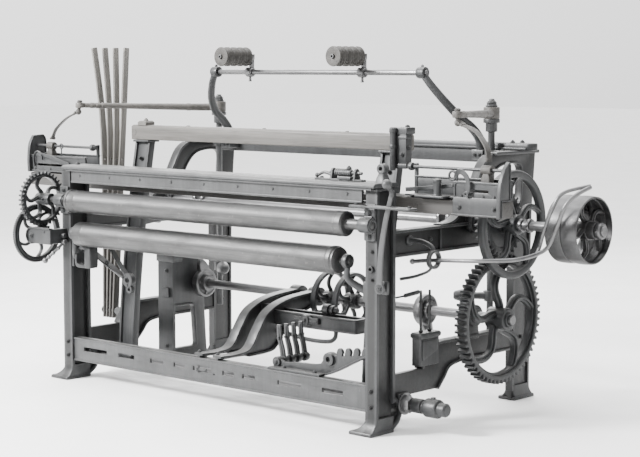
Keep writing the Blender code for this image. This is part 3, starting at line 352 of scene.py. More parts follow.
def gear_outline(u, v, teeth, pitch, module, shift=0.0):
    """Gear outline with rounded flanks."""
    outline = []
    step = 2 * math.pi / teeth
    for tooth in range(teeth):
        for part, rise in ((-0.36, -1.1), (-0.29, -0.85), (-0.22, 0.1), (-0.15, 0.72), (-0.1, 0.8),
                (0.1, 0.8), (0.15, 0.72), (0.22, 0.1), (0.29, -0.85), (0.36, -1.1)):
            a = (tooth + shift + part) * step
            radius = pitch + rise * module
            outline.append((u + radius * math.cos(a), v + radius * math.sin(a)))
    return outline


# ---------------------------------------------------------------- materials
class Nodes:
    """Small helper to wire a material's node tree."""

    def __init__(self, name):
        self.material = bpy.data.materials.new(name)
        self.material.use_nodes = True
        self.tree = self.material.node_tree
        self.shader = self.tree.nodes["Principled BSDF"]
        self.place = self.add("ShaderNodeTexCoord").outputs["Object"]

    def add(self, kind, **values):
        node = self.tree.nodes.new(kind)
        for key, value in values.items():
            setattr(node, key, value)
        return node

    def link(self, source, target):
        self.tree.links.new(source, target)

    def mapped(self, scale, turn=(0, 0, 0)):
        node = self.add("ShaderNodeMapping")
        node.inputs["Scale"].default_value = scale
        node.inputs["Rotation"].default_value = turn
        self.link(self.place, node.inputs["Vector"])
        return node.outputs["Vector"]

    def noise(self, vector, scale, detail=4.0, rough=0.55, bend=0.0):
        node = self.add("ShaderNodeTexNoise")
        node.inputs["Scale"].default_value = scale
        node.inputs["Detail"].default_value = detail
        node.inputs["Roughness"].default_value = rough
        node.inputs["Distortion"].default_value = bend
        self.link(vector, node.inputs["Vector"])
        return node.outputs["Fac"]

    def ramp(self, source, stops):
        node = self.add("ShaderNodeValToRGB")
        line = node.color_ramp
        while len(line.elements) < len(stops):
            line.elements.new(0.5)
        for element, (place, colour) in zip(line.elements, stops):
            element.position = place
            element.color = (*colour, 1) if isinstance(colour, tuple) else (colour, colour, colour, 1)
        self.link(source, node.inputs["Fac"])
        return node.outputs["Color"]

    def mix(self, factor, one, two, kind="MIX"):
        node = self.add("ShaderNodeMix", data_type="RGBA", blend_type=kind)
        for value, socket in ((factor, 0), (one, 6), (two, 7)):
            if isinstance(value, (int, float)):
                node.inputs[socket].default_value = value
            elif isinstance(value, tuple):
                node.inputs[socket].default_value = (*value, 1)
            else:
                self.link(value, node.inputs[socket])
        return node.outputs[2]

    def cover(self, base, mask, share, tone):
        """A second tone over the base, where the mask is bright."""
        return self.mix(self.mix(1.0, mask, (share,) * 3, "MULTIPLY"), base, tone)

    def part(self, vector, axis):
        """One component of a vector."""
        node = self.add("ShaderNodeSeparateXYZ")
        self.link(vector, node.inputs[0])
        return node.outputs[axis]

    def bump(self, height, strength, distance, before=None):
        node = self.add("ShaderNodeBump")
        node.inputs["Strength"].default_value = strength
        node.inputs["Distance"].default_value = distance
        self.link(height, node.inputs["Height"])
        if before is not None:
            self.link(before, node.inputs["Normal"])
        return node.outputs["Normal"]

    def edges(self, low=0.52, high=0.6):
        """Bright where the surface stands out, for worn edges."""
        point = self.add("ShaderNodeNewGeometry").outputs["Pointiness"]
        return self.ramp(point, ((low, 0.0), (high, 1.0)))

    def finish(self, colour=None, rough=None, metal=None, normal=None):
        for value, name in ((colour, "Base Color"), (rough, "Roughness"), (metal, "Metallic"),
                (normal, "Normal")):
            if value is None:
                continue
            if isinstance(value, (int, float)):
                self.shader.inputs[name].default_value = value
            else:
                self.link(value, self.shader.inputs[name])
        return self.material


def scaled(tone, factor):
    return tuple(factor * c for c in tone)


def painted_iron(name, tone, seed=0.0, web=None):
    """Dark paint on a sand casting, greyer where dust and handling have dulled it; with web given, painted
    shade darkens the recessed web of an end frame.
    """
    n = Nodes(name)
    place = n.mapped((1, 1, 1), (seed, seed * 0.7, 0))
    blotch = n.noise(place, 7, 6, 0.6)
    grain = n.noise(place, 300, 3, 0.6)
    pits = n.noise(place, 90, 5, 0.7)
    dark = scaled(tone, 0.74)
    light = scaled(tone, 1.3)
    base = n.ramp(blotch, ((0.32, dark), (0.52, tone), (0.72, light)))
    streak = n.noise(n.mapped((34, 34, 2.5)), 1.6, 6, 0.65)
    grime = n.ramp(streak, ((0.4, 0.62), (0.6, 1.0)))
    base = n.mix(0.5, base, grime, "MULTIPLY")
    speck = n.ramp(pits, ((0.6, 0.0), (0.68, 1.0)))
    base = n.cover(base, speck, 0.3, scaled(tone, 2.6))
    up = n.part(n.add("ShaderNodeNewGeometry").outputs["Normal"], "Z")
    dust = n.mix(1.0, n.ramp(up, ((0.55, 0.0), (0.98, 1.0))), n.ramp(blotch, ((0.35, 0.15), (0.65, 0.55))),
        "MULTIPLY")
    base = n.mix(dust, base, (0.17, 0.167, 0.162))
    # Painted shade: within about 14 mm of the web's middle plane at |x| = web, the colour is darkened to
    # about a third, standing in for the shade in the frame's recess.
    if web:
        size = n.part(n.place, "X")
        for shift in (0.0, web):
            step = n.add("ShaderNodeMath", operation="SUBTRACT")
            n.link(size, step.inputs[0])
            step.inputs[1].default_value = shift
            whole = n.add("ShaderNodeMath", operation="ABSOLUTE")
            n.link(step.outputs[0], whole.inputs[0])
            size = whole.outputs[0]
        painted_web_shade = n.ramp(size, ((0.0135, 0.34), (0.0205, 1.0)))
        base = n.mix(1.0, base, painted_web_shade, "MULTIPLY")
    rough = n.ramp(pits, ((0.35, 0.34), (0.65, 0.52)))
    normal = n.bump(grain, 0.25, 0.0005, n.bump(pits, 0.22, 0.0012))
    return n.finish(base, rough, 0.25, normal)


def bright_steel(name, axis, tone=(0.6, 0.6, 0.61), rough=0.3, streaks=0.5):
    """Polished steel with fine marks along X, or around the X axis for R."""
    n = Nodes(name)
    scale = {"X": (1.4, 60, 60), "R": (420, 6, 6)}[axis]
    mark = n.noise(n.mapped(scale), 4, 5, 0.65)
    cloud = n.noise(n.mapped((2, 6, 6)), 3, 5, 0.6, 0.4)
    dull = scaled(tone, 0.7)
    base = n.ramp(cloud, ((0.32, dull), (0.52, tone), (0.72, scaled(tone, 1.22))))
    line = n.ramp(mark, ((0.3, 0.62), (0.58, 1.0)))
    base = n.mix(streaks, base, line, "MULTIPLY")
    spot_mark = n.ramp(n.noise(n.mapped((1, 1, 1)), 70, 3), ((0.62, 0.0), (0.74, 1.0)))
    base = n.cover(base, spot_mark, 0.35, (0.2, 0.19, 0.18))
    gloss = n.ramp(cloud, ((0.3, rough + 0.14), (0.7, rough)))
    normal = n.bump(mark, 0.12, 0.0008)
    return n.finish(base, gloss, 0.9, normal)


def wood(name, axis, tone, shade_bottom=False):
    """Planed hardwood with the grain along one axis."""
    n = Nodes(name)
    long, across = 1.2, 26.0
    scale = {"X": (long, across, across), "Y": (across, long, across), "Z": (across, across, long)}[axis]
    place = n.mapped(scale)
    fibre = n.noise(place, 5, 8, 0.7, 0.6)
    band = n.noise(place, 1.1, 3, 0.5, 1.2)
    dark, light = scaled(tone, 0.45), scaled(tone, 1.3)
    base = n.ramp(band, ((0.3, dark), (0.5, tone), (0.7, light)))
    line = n.ramp(fibre, ((0.36, (0.45, 0.43, 0.4)), (0.54, 1.0)))
    base = n.mix(0.75, base, line, "MULTIPLY")
    handled = n.ramp(n.noise(n.mapped((1, 1, 1)), 6, 4), ((0.45, 0.0), (0.75, 0.5)))
    base = n.mix(handled, base, scaled(tone, 0.55))
    base = n.cover(base, n.edges(), 0.5, light)
    # Painted shade: the wood is darkened towards the bottom (low object Z, broken up by noise), standing in
    # for the shade on the lower parts.
    if shade_bottom:
        painted_bottom_shade = n.mix(0.35, n.part(n.place, "Z"), n.noise(n.mapped((1, 1, 1)), 9, 4), "MULTIPLY")
        base = n.mix(1.0, base, n.ramp(painted_bottom_shade, ((0.25, (0.3, 0.29, 0.28)), (0.85, 1.0))), "MULTIPLY")
    rough = n.ramp(fibre, ((0.3, 0.66), (0.7, 0.46)))
    return n.finish(base, rough, 0.0, n.bump(fibre, 0.4, 0.0012))


def leather(name, tone):
    """Oiled hide with creases and darker edges."""
    n = Nodes(name)
    place = n.mapped((1, 1, 1))
    cell = n.add("ShaderNodeTexVoronoi", feature="DISTANCE_TO_EDGE")
    cell.inputs["Scale"].default_value = 420
    n.link(place, cell.inputs["Vector"])
    pebble = n.ramp(cell.outputs["Distance"], ((0.0, 0.0), (0.2, 1.0)))
    crease = n.noise(place, 60, 6, 0.65, 0.8)
    base = n.ramp(crease, ((0.3, scaled(tone, 0.5)), (0.55, tone), (0.8, scaled(tone, 1.4))))
    base = n.mix(0.35, base, pebble, "MULTIPLY")
    base = n.cover(base, n.edges(), 0.6, scaled(tone, 0.4))
    rough = n.ramp(crease, ((0.3, 0.72), (0.7, 0.5)))
    return n.finish(base, rough, 0.0, n.bump(pebble, 0.35, 0.0004, n.bump(crease, 0.5, 0.001)))


IRON = painted_iron("frame_iron", (0.029, 0.03, 0.031))
# End frames: painted iron whose recessed webs are darkened as painted shade.
IRON_FRAME = painted_iron("web_iron", (0.036, 0.037, 0.038), 0.4, FRAME_X)
IRON_DARK = painted_iron("gear_iron", (0.017, 0.018, 0.019), 0.8)
IRON_LIGHT = painted_iron("beam_iron", (0.05, 0.051, 0.052), 1.7)
ROLLER = bright_steel("roller_tin", "X", (0.085, 0.085, 0.085), 0.38, 0.8)
STEEL_X = bright_steel("shaft_steel", "X", (0.15, 0.15, 0.152))
STEEL_R = bright_steel("pulley_face", "R", (0.085, 0.085, 0.086), 0.36, 0.6)
WOOD_X = wood("lay_wood", "X", (0.085, 0.08, 0.074))
WOOD_Y = wood("arm_wood", "Y", (0.08, 0.075, 0.069))
# Heald-lever wood, with painted shade darkening it towards the bottom.
WOOD_Z = wood("slat_wood", "Z", (0.15, 0.143, 0.132), True)
WOOD_DARK = wood("pulley_wood", "Y", (0.04, 0.037, 0.033))
# Lay beam: a much darker copy of the lay wood, whose dark tone is painted shade on the lay's front.
WOOD_LAY_SHADED = wood("lay_wood_painted_shade", "X", (0.032, 0.03, 0.028))
HIDE = leather("strap_hide", (0.06, 0.056, 0.051))


# ---------------------------------------------------------------- end frames
def foot(s, x, side_low, side_high, front, back, neck):
    """Flared foot: a sole plate and a hollowed taper up to the post."""
    s.loft([(x + side_low, x + side_high, front, back, 0.0),
        (x + side_low, x + side_high, front, back, 0.009),
        (x + side_low + 0.003, x + side_high - 0.001, front + 0.003, back - 0.003, 0.013)])
    nx0, nx1, ny0, ny1 = neck
    steps = []
    for i in range(8):
        t = i / 7
        k = (1 - t) ** 2.2
        steps.append((nx0 + (x + side_low + 0.012 - nx0) * k, nx1 + (x + side_high - 0.003 - nx1) * k,
            ny0 + (front + 0.01 - ny0) * k, ny1 + (back - 0.008 - ny1) * k, 0.012 + 0.05 * t))
    s.loft(steps, 0.004)


def post_bolt(s, x, z, size=0.008):
    s.nut("Y", x, z, size, POST_FRONT, -0.008, 0.003)


def frame_outline():
    bottom = smooth([(-0.1, 0.125), (-0.062, 0.165), (-0.02, 0.206), (0.08, 0.22)])
    cusp = smooth([(-0.392, 0.012), (-0.352, 0.04), (-0.338, 0.085), (-0.372, 0.125)])
    crest = smooth([(0.27, FRAME_TOP - 0.003), (0.19, 0.985), (0.11, 0.86), (0.0, 0.775),
        (-0.09, RAIL_HIGH)])
    outline = [(POST_FRONT + 0.004, 0.012), *cusp, *bottom, (REAR_FRONT, 0.22), (REAR_FRONT, 0.012),
        (REAR_BACK - 0.004, 0.012), (REAR_BACK, 0.3), (0.535, 0.8), (0.555, FRAME_TOP - 0.003), *crest,
        (POST_BACK, RAIL_HIGH), (POST_BACK, POST_TOP - 0.004), (POST_FRONT + 0.004, POST_TOP - 0.004)]
    return outline, cusp, bottom, crest


def end_frame(side, name, extra):
    x = side * FRAME_X
    outline, cusp, bottom, crest = frame_outline()
    top = smooth([(-0.2, 0.215), (-0.165, 0.262), (-0.11, 0.3), (-0.02, 0.304)])
    window = [(POST_BACK, 0.215), *top, (REAR_FRONT, 0.304), (REAR_FRONT, RAIL_LOW), (POST_BACK, RAIL_LOW)]
    arch = smooth([(0.17, 0.8), (0.3, 0.79), (0.43, 0.8), (0.455, 0.9), (0.44, 0.975), (0.31, 0.975),
        (0.235, 0.92), (0.17, 0.8)])[:-1]
    s = Shape()
    s.plate("X", outline, x - WEB, x + WEB, (window, arch, circle(-0.366, 0.075, 0.016, 24)), 0.003)
    s.box((x - FLANGE, x + FLANGE), (POST_FRONT, POST_FRONT + 0.014), (0.04, POST_TOP - 0.005), 0.003)
    s.box((x - FLANGE, x + FLANGE), (POST_BACK - 0.014, POST_BACK + 0.0012), (0.11, POST_TOP - 0.005),
        0.003)
    s.box((x - FLANGE - 0.0012, x + FLANGE + 0.0012), (POST_FRONT - 0.0012, POST_BACK + 0.0024),
        (POST_TOP - 0.012, POST_TOP), 0.003)
    for depth in ((REAR_FRONT - 0.0012, REAR_FRONT + 0.012), (REAR_BACK - 0.014, REAR_BACK - 0.002)):
        s.box((x - 0.018, x + 0.018), depth, (0.04, 0.8), 0.003)
    foot(s, x, -0.083, FLANGE, -0.52, -0.38, (x - FLANGE, x + FLANGE, POST_FRONT, -0.384))
    foot(s, x, -0.06, 0.024, 0.405, 0.55, (x - 0.018, x + 0.018, 0.402, 0.518))
    for z0, z1 in ((RAIL_HIGH - 0.01, RAIL_HIGH + 0.001), (RAIL_LOW - 0.001, RAIL_LOW + 0.01)):
        s.box((x - 0.024, x + 0.024), (POST_BACK - 0.004, REAR_FRONT + 0.004), (z0, z1), 0.003)
    for y in (-0.09, 0.215):
        s.box((x - 0.02, x + 0.02), (y - 0.005, y + 0.005), (RAIL_LOW + 0.004, RAIL_HIGH - 0.004))
    s.box((x - 0.03, x + 0.03), (0.26, 0.556), (FRAME_TOP - 0.014, FRAME_TOP), 0.003)
    for path in (top, bottom, crest[4:]):
        s.plate("X", ribbon(path, 0.011), x - 0.021, x + 0.021, (), 0.003)
    s.box((x - 0.021, x + 0.021), (-0.0205, REAR_FRONT + 0.002), (0.2985, 0.3095), 0.003)
    s.box((x - 0.021, x + 0.021), (0.075, REAR_FRONT + 0.002), (0.2145, 0.2255), 0.003)
    s.lip("X", arch, 0.009, x - 0.017, x + 0.017)
    s.plate("X", ribbon(cusp, 0.013), x - FLANGE, x + FLANGE, (), 0.003)
    for z, size, half in ((CRANK_Z, 0.046, 0.036), (TAPPET_Z, 0.044, 0.03)):
        bearing(s, x, SHAFT_Y, z, size, half)
    s.plate("X", [(SHAFT_Y - 0.04, 0.29), (SHAFT_Y + 0.04, 0.29), (SHAFT_Y + 0.028, TAPPET_Z),
        (SHAFT_Y - 0.028, TAPPET_Z)], x - 0.016, x + 0.016, (), 0.003)
    s.plate("X", [(ROCKER_Y + 0.03, 0.14), (ROCKER_Y - 0.03, 0.14),
        *circle(ROCKER_Y, ROCKER_Z, 0.03, 20, math.pi, math.pi)], x - 0.026, x + 0.026,
        (circle(ROCKER_Y, ROCKER_Z, ROCKER_R + 0.001, 24),), 0.003)
    pick_bearings(s, side)
    for z in (0.105, 0.165):
        post_bolt(s, x, z, 0.0075)
    for y in (-0.15, 0.3):
        s.nut("X", y, 0.712, 0.009, x + WEB, 0.008, 0.004)
    s.nut("X", 0.462, 0.26, 0.008, x + WEB, 0.008, 0.003)
    extra(s, x)
    s.done(name, "frame", IRON_FRAME)


def bearing(s, x, y, z, size, half):
    """Split bearing: bored boss with a cap, two cap bolts and a lubricator cup."""
    s.tube("X", y, z, BEARING_BORE, size, x - half, x + half, 0.003)
    s.tube("X", y, z, BEARING_BORE, size * 0.74, x - half - 0.004, x + half + 0.004, 0.002)
    for v in (-1, 1):
        s.box((x - 0.014, x + 0.014), sorted((y + v * 0.02, y + v * (size + 0.012))),
            (z + 0.002, z + 0.022))
        s.nut("Z", x, y + v * (size + 0.003), 0.0072, z + 0.022, 0.008, 0.003)
    s.drum("Z", x, y, 0.009, z + size - 0.004, z + size + 0.014)
    s.drum("Z", x, y, 0.006, z + size + 0.01, z + size + 0.019)


def pick_bearings(s, side):
    """Two bored lugs that guide an upright picking shaft."""
    x = side * PICK_X
    for z in (0.33, FRAME_TOP - 0.028):
        s.tube("Z", x, PICK_Y, PICK_R + 0.0012, 0.028, z, z + 0.028, 0.003)
        reach = sorted((x + side * 0.022, side * (FRAME_X - 0.005)))
        s.box(reach, (PICK_Y - 0.016, PICK_Y + 0.03), (z + 0.014, z + 0.027), 0.003)
        s.nut("Z", x + side * 0.05, PICK_Y + 0.008, 0.007, z + 0.027, 0.007)
    s.box(sorted((side * (FRAME_X - 0.02), side * (FRAME_X - 0.008))), (PICK_Y - 0.016, REAR_FRONT + 0.02),
        (0.32, 0.372), 0.003)


def right_extras(s, x):
    end_y, end_z = -0.28, 0.718
    slot = pane((0.85, 1.04), (-0.52, -0.496), 0.008)
    edge = pane((0.79, 1.085), (-0.532, -0.484), 0.012)
    s.plate("Z", edge, 0.855, 0.8635, (slot,), 0.002)
    s.box((0.845, 0.89), (-0.495, POST_FRONT + 0.006), (0.848, 0.868), 0.003)
    for u in (0.812, 1.062):
        s.nut("Z", u, -0.508, 0.007, 0.8635, 0.006)
    s.box((x - 0.02, x + 0.022), (-0.217, -0.103), (0.225, 0.34), 0.003)
    s.plate("X", eased([(-0.206, 0.245), (-0.114, 0.28), (-0.114, 0.325), (-0.206, 0.325)], 0.006),
        x + 0.02, x + 0.025)
    s.loft([(x - 0.022, x + 0.025, -0.219, -0.1, 0.332), (x - 0.026, x + 0.029, -0.223, -0.096, 0.338),
        (x - 0.026, x + 0.029, -0.223, -0.096, 0.348), (x - 0.022, x + 0.025, -0.218, -0.101, 0.354)],
        0.004)
    for y in (-0.192, -0.137):
        s.drum("Z", x + 0.002, y, 0.005, 0.35, 0.515)
        s.drum("Z", x + 0.002, y, 0.009, 0.353, 0.364, 0.003)
        s.nut("Z", x + 0.002, y, 0.008, 0.47, 0.009)
    s.drum("Y", HANDLE_X, HANDLE_Z, 0.008, -0.522, -0.476)
    s.nut("Y", HANDLE_X, HANDLE_Z, 0.013, -0.513, -0.007, 0.003)
    s.box((x + FLANGE - 0.004, HANDLE_X + 0.018), (-0.4866, -0.474), (0.535, 0.585), 0.004)
    s.tube("X", FORK_Y, FORK_Z, 0.026, 0.036, FORK_X - 0.01, FORK_X + 0.01, 0.003)
    s.rod(smooth([(FORK_X, FORK_Y, FORK_Z + 0.031), (FORK_X - 0.018, -0.287, FORK_Z + 0.05),
        (0.935, end_y, end_z), (x, end_y, end_z)]), 0.009)
    s.drum("X", end_y, end_z, 0.02, x + WEB - 0.002, x + WEB + 0.01, 0.003)
    s.tube("Y", x + 0.002, 0.625, 0.006, 0.013, POST_FRONT - 0.01, POST_FRONT + 0.002, 0.002, 24)
    for z in (0.585, 0.69):
        post_bolt(s, x + 0.006, z, 0.006)
    hook = smooth([(0.88, -0.33, 0.575), (0.945, -0.325, 0.59), (1.0, -0.318, 0.612),
        (1.018, -0.315, 0.632)])
    s.rod(hook, (0.0065, 0.005), 10)
    s.rod([(0.872, -0.345, 0.505), (0.9, -0.345, 0.512), (0.99, -0.342, 0.54)], 0.004, 10)
    for i in range(11):
        t = i / 10
        s.tube("X", -0.3435, 0.5165 + 0.019 * t, 0.0035, 0.0085, 0.912 + 0.062 * t, 0.9155 + 0.062 * t,
            0.001, 16)


def left_extras(s, x):
    outer = x - WEB
    s.drum("X", LEVER_Y, LEVER_Z, 0.03, outer - 0.012, outer + 0.004, 0.003)
    s.drum("X", LEVER_Y, LEVER_Z, 0.019, -1.044, outer + 0.004, 0.003)
    s.drum("X", LEVER_Y, LEVER_Z, 0.011, LEVER_X - 0.01, outer + 0.004)
    s.drum("X", LEVER_Y, LEVER_Z, 0.017, LEVER_X - 0.018, LEVER_X - 0.01)


end_frame(1, "end_frame_right", right_extras)
end_frame(-1, "end_frame_left", left_extras)


# ---------------------------------------------------------------- cross members
RAIL_END = FRAME_X - FLANGE - GAP
SLOTS = ((-0.7, 0.15), (-0.5, 0.1), (-0.31, 0.08), (-0.175, 0.065), (-0.04, 0.105), (0.11, 0.065),
    (0.225, 0.07), (0.445, 0.125), (0.668, 0.105))


def front_rail():
    s = Shape()
    low, high = FRONT_RAIL
    slots = [pane((x - w / 2, x + w / 2), (0.13, 0.148), 0.003) for x, w in SLOTS]
    slots.append(circle(0.03, 0.126, 0.004, 16))
    outline = [(-RAIL_END, low), (RAIL_END, low), (RAIL_END, high), (-RAIL_END, high)]
    s.plate("Y", outline, -0.477, -0.466, slots, 0.002)
    for z0, z1 in ((high - 0.009, high), (low, low + 0.009)):
        s.box((-RAIL_END, RAIL_END), (-0.48, -0.438), (z0, z1), 0.003)
    s.drum("Y", -0.062, 0.139, 0.013, -0.486, -0.474, 0.003)
    s.drum("Y", -0.062, 0.139, 0.007, -0.49, -0.484)
    s.box((-0.062, -0.012), (-0.483, -0.476), (0.134, 0.144))
    s.done("front_rail", "frame", IRON_LIGHT)


def temple(s):
    """Hinged arm with a spiked roller that rests on the breast beam."""
    y, top = -0.447, BEAM_TOP
    s.plate("Z", eased([(0.56, -0.462), (0.735, -0.47), (0.8, -0.458), (0.8, -0.434), (0.735, -0.424),
        (0.56, -0.44)], 0.008), top - 0.001, top + 0.007)
    s.box((0.69, 0.752), (-0.474, -0.42), (top + 0.005, top + 0.017), 0.003)
    s.drum("X", y, top + 0.03, 0.013, 0.66, 0.74, 0.003)
    for i in range(7):
        s.tube("X", y, top + 0.03, 0.006, 0.015, 0.664 + 0.0105 * i, 0.669 + 0.0105 * i, 0.001, 24)
    s.drum("X", y, top + 0.03, 0.006, 0.63, 0.79)
    for u in (0.648, 0.762):
        s.plate("X", [(-0.466, top + 0.004), (-0.428, top + 0.004), (-0.434, top + 0.034),
            *circle(y, top + 0.034, 0.013, 12, 0, math.pi), (-0.46, top + 0.034)], u - 0.005, u + 0.005)
    s.rod(smooth([(0.64, y, top + 0.02), (0.605, -0.45, top + 0.028), (0.575, -0.452, top + 0.016)]),
        (0.007, 0.005), 10)
    s.ball((0.57, -0.452, top + 0.016), 0.009, 16)
    s.nut("Z", 0.725, y, 0.009, top + 0.045, 0.008, 0.004)
    s.nut("Z", 0.59, -0.449, 0.007, top + 0.007, 0.006)


def breast_beam():
    s = Shape()
    rim = eased([(-0.52, 0.9275), (-0.372, 0.9275), (-0.372, 0.934), (-0.384, BEAM_TOP), (-0.508, BEAM_TOP),
        (-0.52, 0.937)], 0.003)
    s.plate("X", rim, -0.86, 0.905)
    s.box((-0.815, 0.832), (-0.5, -0.488), (0.872, 0.93))
    s.box((-0.815, 0.832), (-0.503, -0.462), (0.868, 0.877), 0.003)
    s.box((-0.84, 0.885), (-0.512, -0.488), (0.918, 0.929), 0.003)
    for i in range(9):
        x = -0.76 + 0.19 * i
        s.nut("Y", x, 0.9, 0.0055, -0.5, -0.004)
    for x in (-0.838, 0.882):
        s.nut("Z", x, -0.445, 0.01, BEAM_TOP, 0.008, 0.003, 4)
    s.loft([(0.866, 0.912, -0.47, -0.424, 0.936), (0.87, 0.908, -0.466, -0.428, 0.962),
        (0.876, 0.902, -0.46, -0.434, 0.978), (0.874, 0.904, -0.462, -0.432, 0.99)], 0.008)
    s.tube("Y", 0.889, 0.996, 0.008, 0.019, -0.462, -0.432, 0.003, 32)
    temple(s)
    s.done("breast_beam", "frame", IRON_LIGHT)


def rear_rail():
    s = Shape()
    z0, z1 = FRAME_TOP + GAP, 1.06
    edge = [(-0.905, 0.412), (0.93, 0.412), *circle(0.93, 0.442, 0.03, 20, -math.pi / 2, math.pi),
        (-0.905, 0.472)]
    s.plate("Z", edge, z0, z1, (), 0.004)
    s.box((-0.83, 0.83), (0.424, 0.434), (0.975, 1.036), 0.003)
    s.box((-0.905, 0.93), (0.408, 0.416), (z0 + 0.002, z0 + 0.011))
    for x in (-FRAME_X, FRAME_X):
        for dy in (-0.014, 0.014):
            s.nut("Z", x + dy, 0.442 + dy, 0.009, z1, 0.008, 0.004)
    s.done("rear_rail", "frame", IRON)


front_rail()
breast_beam()
rear_rail()


# ---------------------------------------------------------------- take-up and cloth rollers
def post_bearing(side, name):
    s = Shape()
    x, y = side * FRAME_X, ROLLER_Y - 0.004
    face, bore = POST_FRONT - GAP, 0.0148
    ears = pane((x - 0.026, x + 0.026), (TAKE_UP_Z - 0.06, TAKE_UP_Z + 0.06), 0.007)
    s.plate("Y", ears, face - 0.012, face, (), 0.003)
    s.tube("X", y, TAKE_UP_Z, bore, 0.029, x - 0.027, x + 0.027, 0.004)
    s.tube("X", y, TAKE_UP_Z, bore, 0.023, x - 0.031, x + 0.031, 0.003)
    s.box((x - 0.018, x + 0.018), (face - 0.02, face - 0.004), (TAKE_UP_Z - 0.034, TAKE_UP_Z + 0.034),
        0.004)
    for dz in (-0.044, 0.044):
        s.nut("Y", x, TAKE_UP_Z + dz, 0.0095, face - 0.012, -0.008, 0.004)
    s.done(name, "frame", IRON)


def take_up_roller():
    s = Shape()
    y, z = ROLLER_Y - 0.004, TAKE_UP_Z
    s.turn("X", y, z, [(0, -1.03), (0.0125, -1.03), (0.0135, -1.028), (0.0135, -0.838), (0.02, -0.836),
        (0.02, -0.796), (0.052, -0.795), (0.052, -0.783), (0.048, -0.78), (0.048, -0.742), (0.0488, -0.741),
        (0.0488, -0.732), (0.048, -0.731), (0.048, 0.735), (0.0488, 0.736), (0.0488, 0.745), (0.048, 0.746),
        (0.048, 0.772), (0.04, 0.7775), (0.022, 0.778), (0.02, 0.79), (0.02, 0.836), (0.0135, 0.838),
        (0.0135, 0.895), (0, 0.896)], 64, edge=0.0012)
    s.done("take_up_roller", "take_up", ROLLER)


def cloth_roller():
    s = Shape()
    y, z = ROLLER_Y, CLOTH_Z
    s.turn("X", y, z, [(0, -0.806), (0.012, -0.805), (0.012, -0.759), (0.046, -0.757), (0.052, -0.75),
        (0.052, -0.7), (0.0526, -0.699), (0.0526, -0.69), (0.052, -0.689), (0.052, 0.7), (0.0545, 0.704),
        (0.0545, 0.722), (0.05, 0.728), (0.05, 0.734), (0.03, 0.739), (0.012, 0.74), (0.012, 0.789),
        (0, 0.79)], 64, edge=0.0015)
    s.done("cloth_roller", "cloth_roller", ROLLER)


def cloth_arm(side, name, bearing_x):
    s = Shape()
    wall = side * RAIL_END
    x = side * bearing_x
    hook = smooth([(wall - side * 0.006, -0.455, 0.535), (x + side * 0.03, -0.478, 0.552),
        (x, -0.508, 0.585), (x, -0.51, 0.626)])
    s.tube("X", ROLLER_Y, CLOTH_Z, 0.0133, 0.027, x - 0.011, x + 0.011, 0.003)
    s.rod(hook, (0.017, 0.011))
    s.box(sorted((wall, wall - side * 0.014)), (-0.484, -0.42), (0.5, 0.575), 0.004)
    for z in (0.513, 0.562):
        s.nut("X", -0.432, z, 0.008, wall - side * 0.014, -side * 0.007, 0.003)
    if side < 0:
        outer = pane((-0.8, -0.686), (0.5, 0.594), 0.026, 6)
        inner = pane((-0.789, -0.728), (0.514, 0.581), 0.018, 6)
        s.plate("Y", outer, -0.5, -0.47, (inner,), 0.003)
        s.loft([(-0.728, -0.69, -0.508, -0.462, 0.504), (-0.73, -0.688, -0.51, -0.46, 0.515),
            (-0.73, -0.688, -0.51, -0.46, 0.586), (-0.726, -0.692, -0.506, -0.464, 0.596)], 0.01)
        s.box((wall + 0.004, -0.795), (-0.482, -0.474), (0.53, 0.56), 0.003)
        s.nut("Y", -0.76, 0.597, 0.007, -0.486, -0.014)
        s.strap(smooth([(-0.84, -0.425, 0.585), (-0.77, -0.412, 0.556), (-0.69, -0.398, 0.508),
            (-0.6, -0.388, 0.462)]), 0.04, 0.009)
        s.strap(smooth([(-0.69, -0.398, 0.6), (-0.65, -0.394, 0.545), (-0.6, -0.39, 0.486),
            (-0.577, -0.388, 0.462)]), 0.026, 0.008)
        s.tube("Y", -0.576, 0.452, 0.012, 0.031, -0.4, -0.374, 0.004, 40)
        s.tube("Y", -0.568, 0.412, 0.007, 0.018, -0.397, -0.377, 0.003, 32)
        s.strap([(-0.574, -0.387, 0.436), (-0.571, -0.387, 0.428), (-0.569, -0.387, 0.42)], 0.026, 0.014)
        s.nut("Y", -0.7, 0.515, 0.01, -0.404, -0.008)
    s.done(name, "frame", IRON)


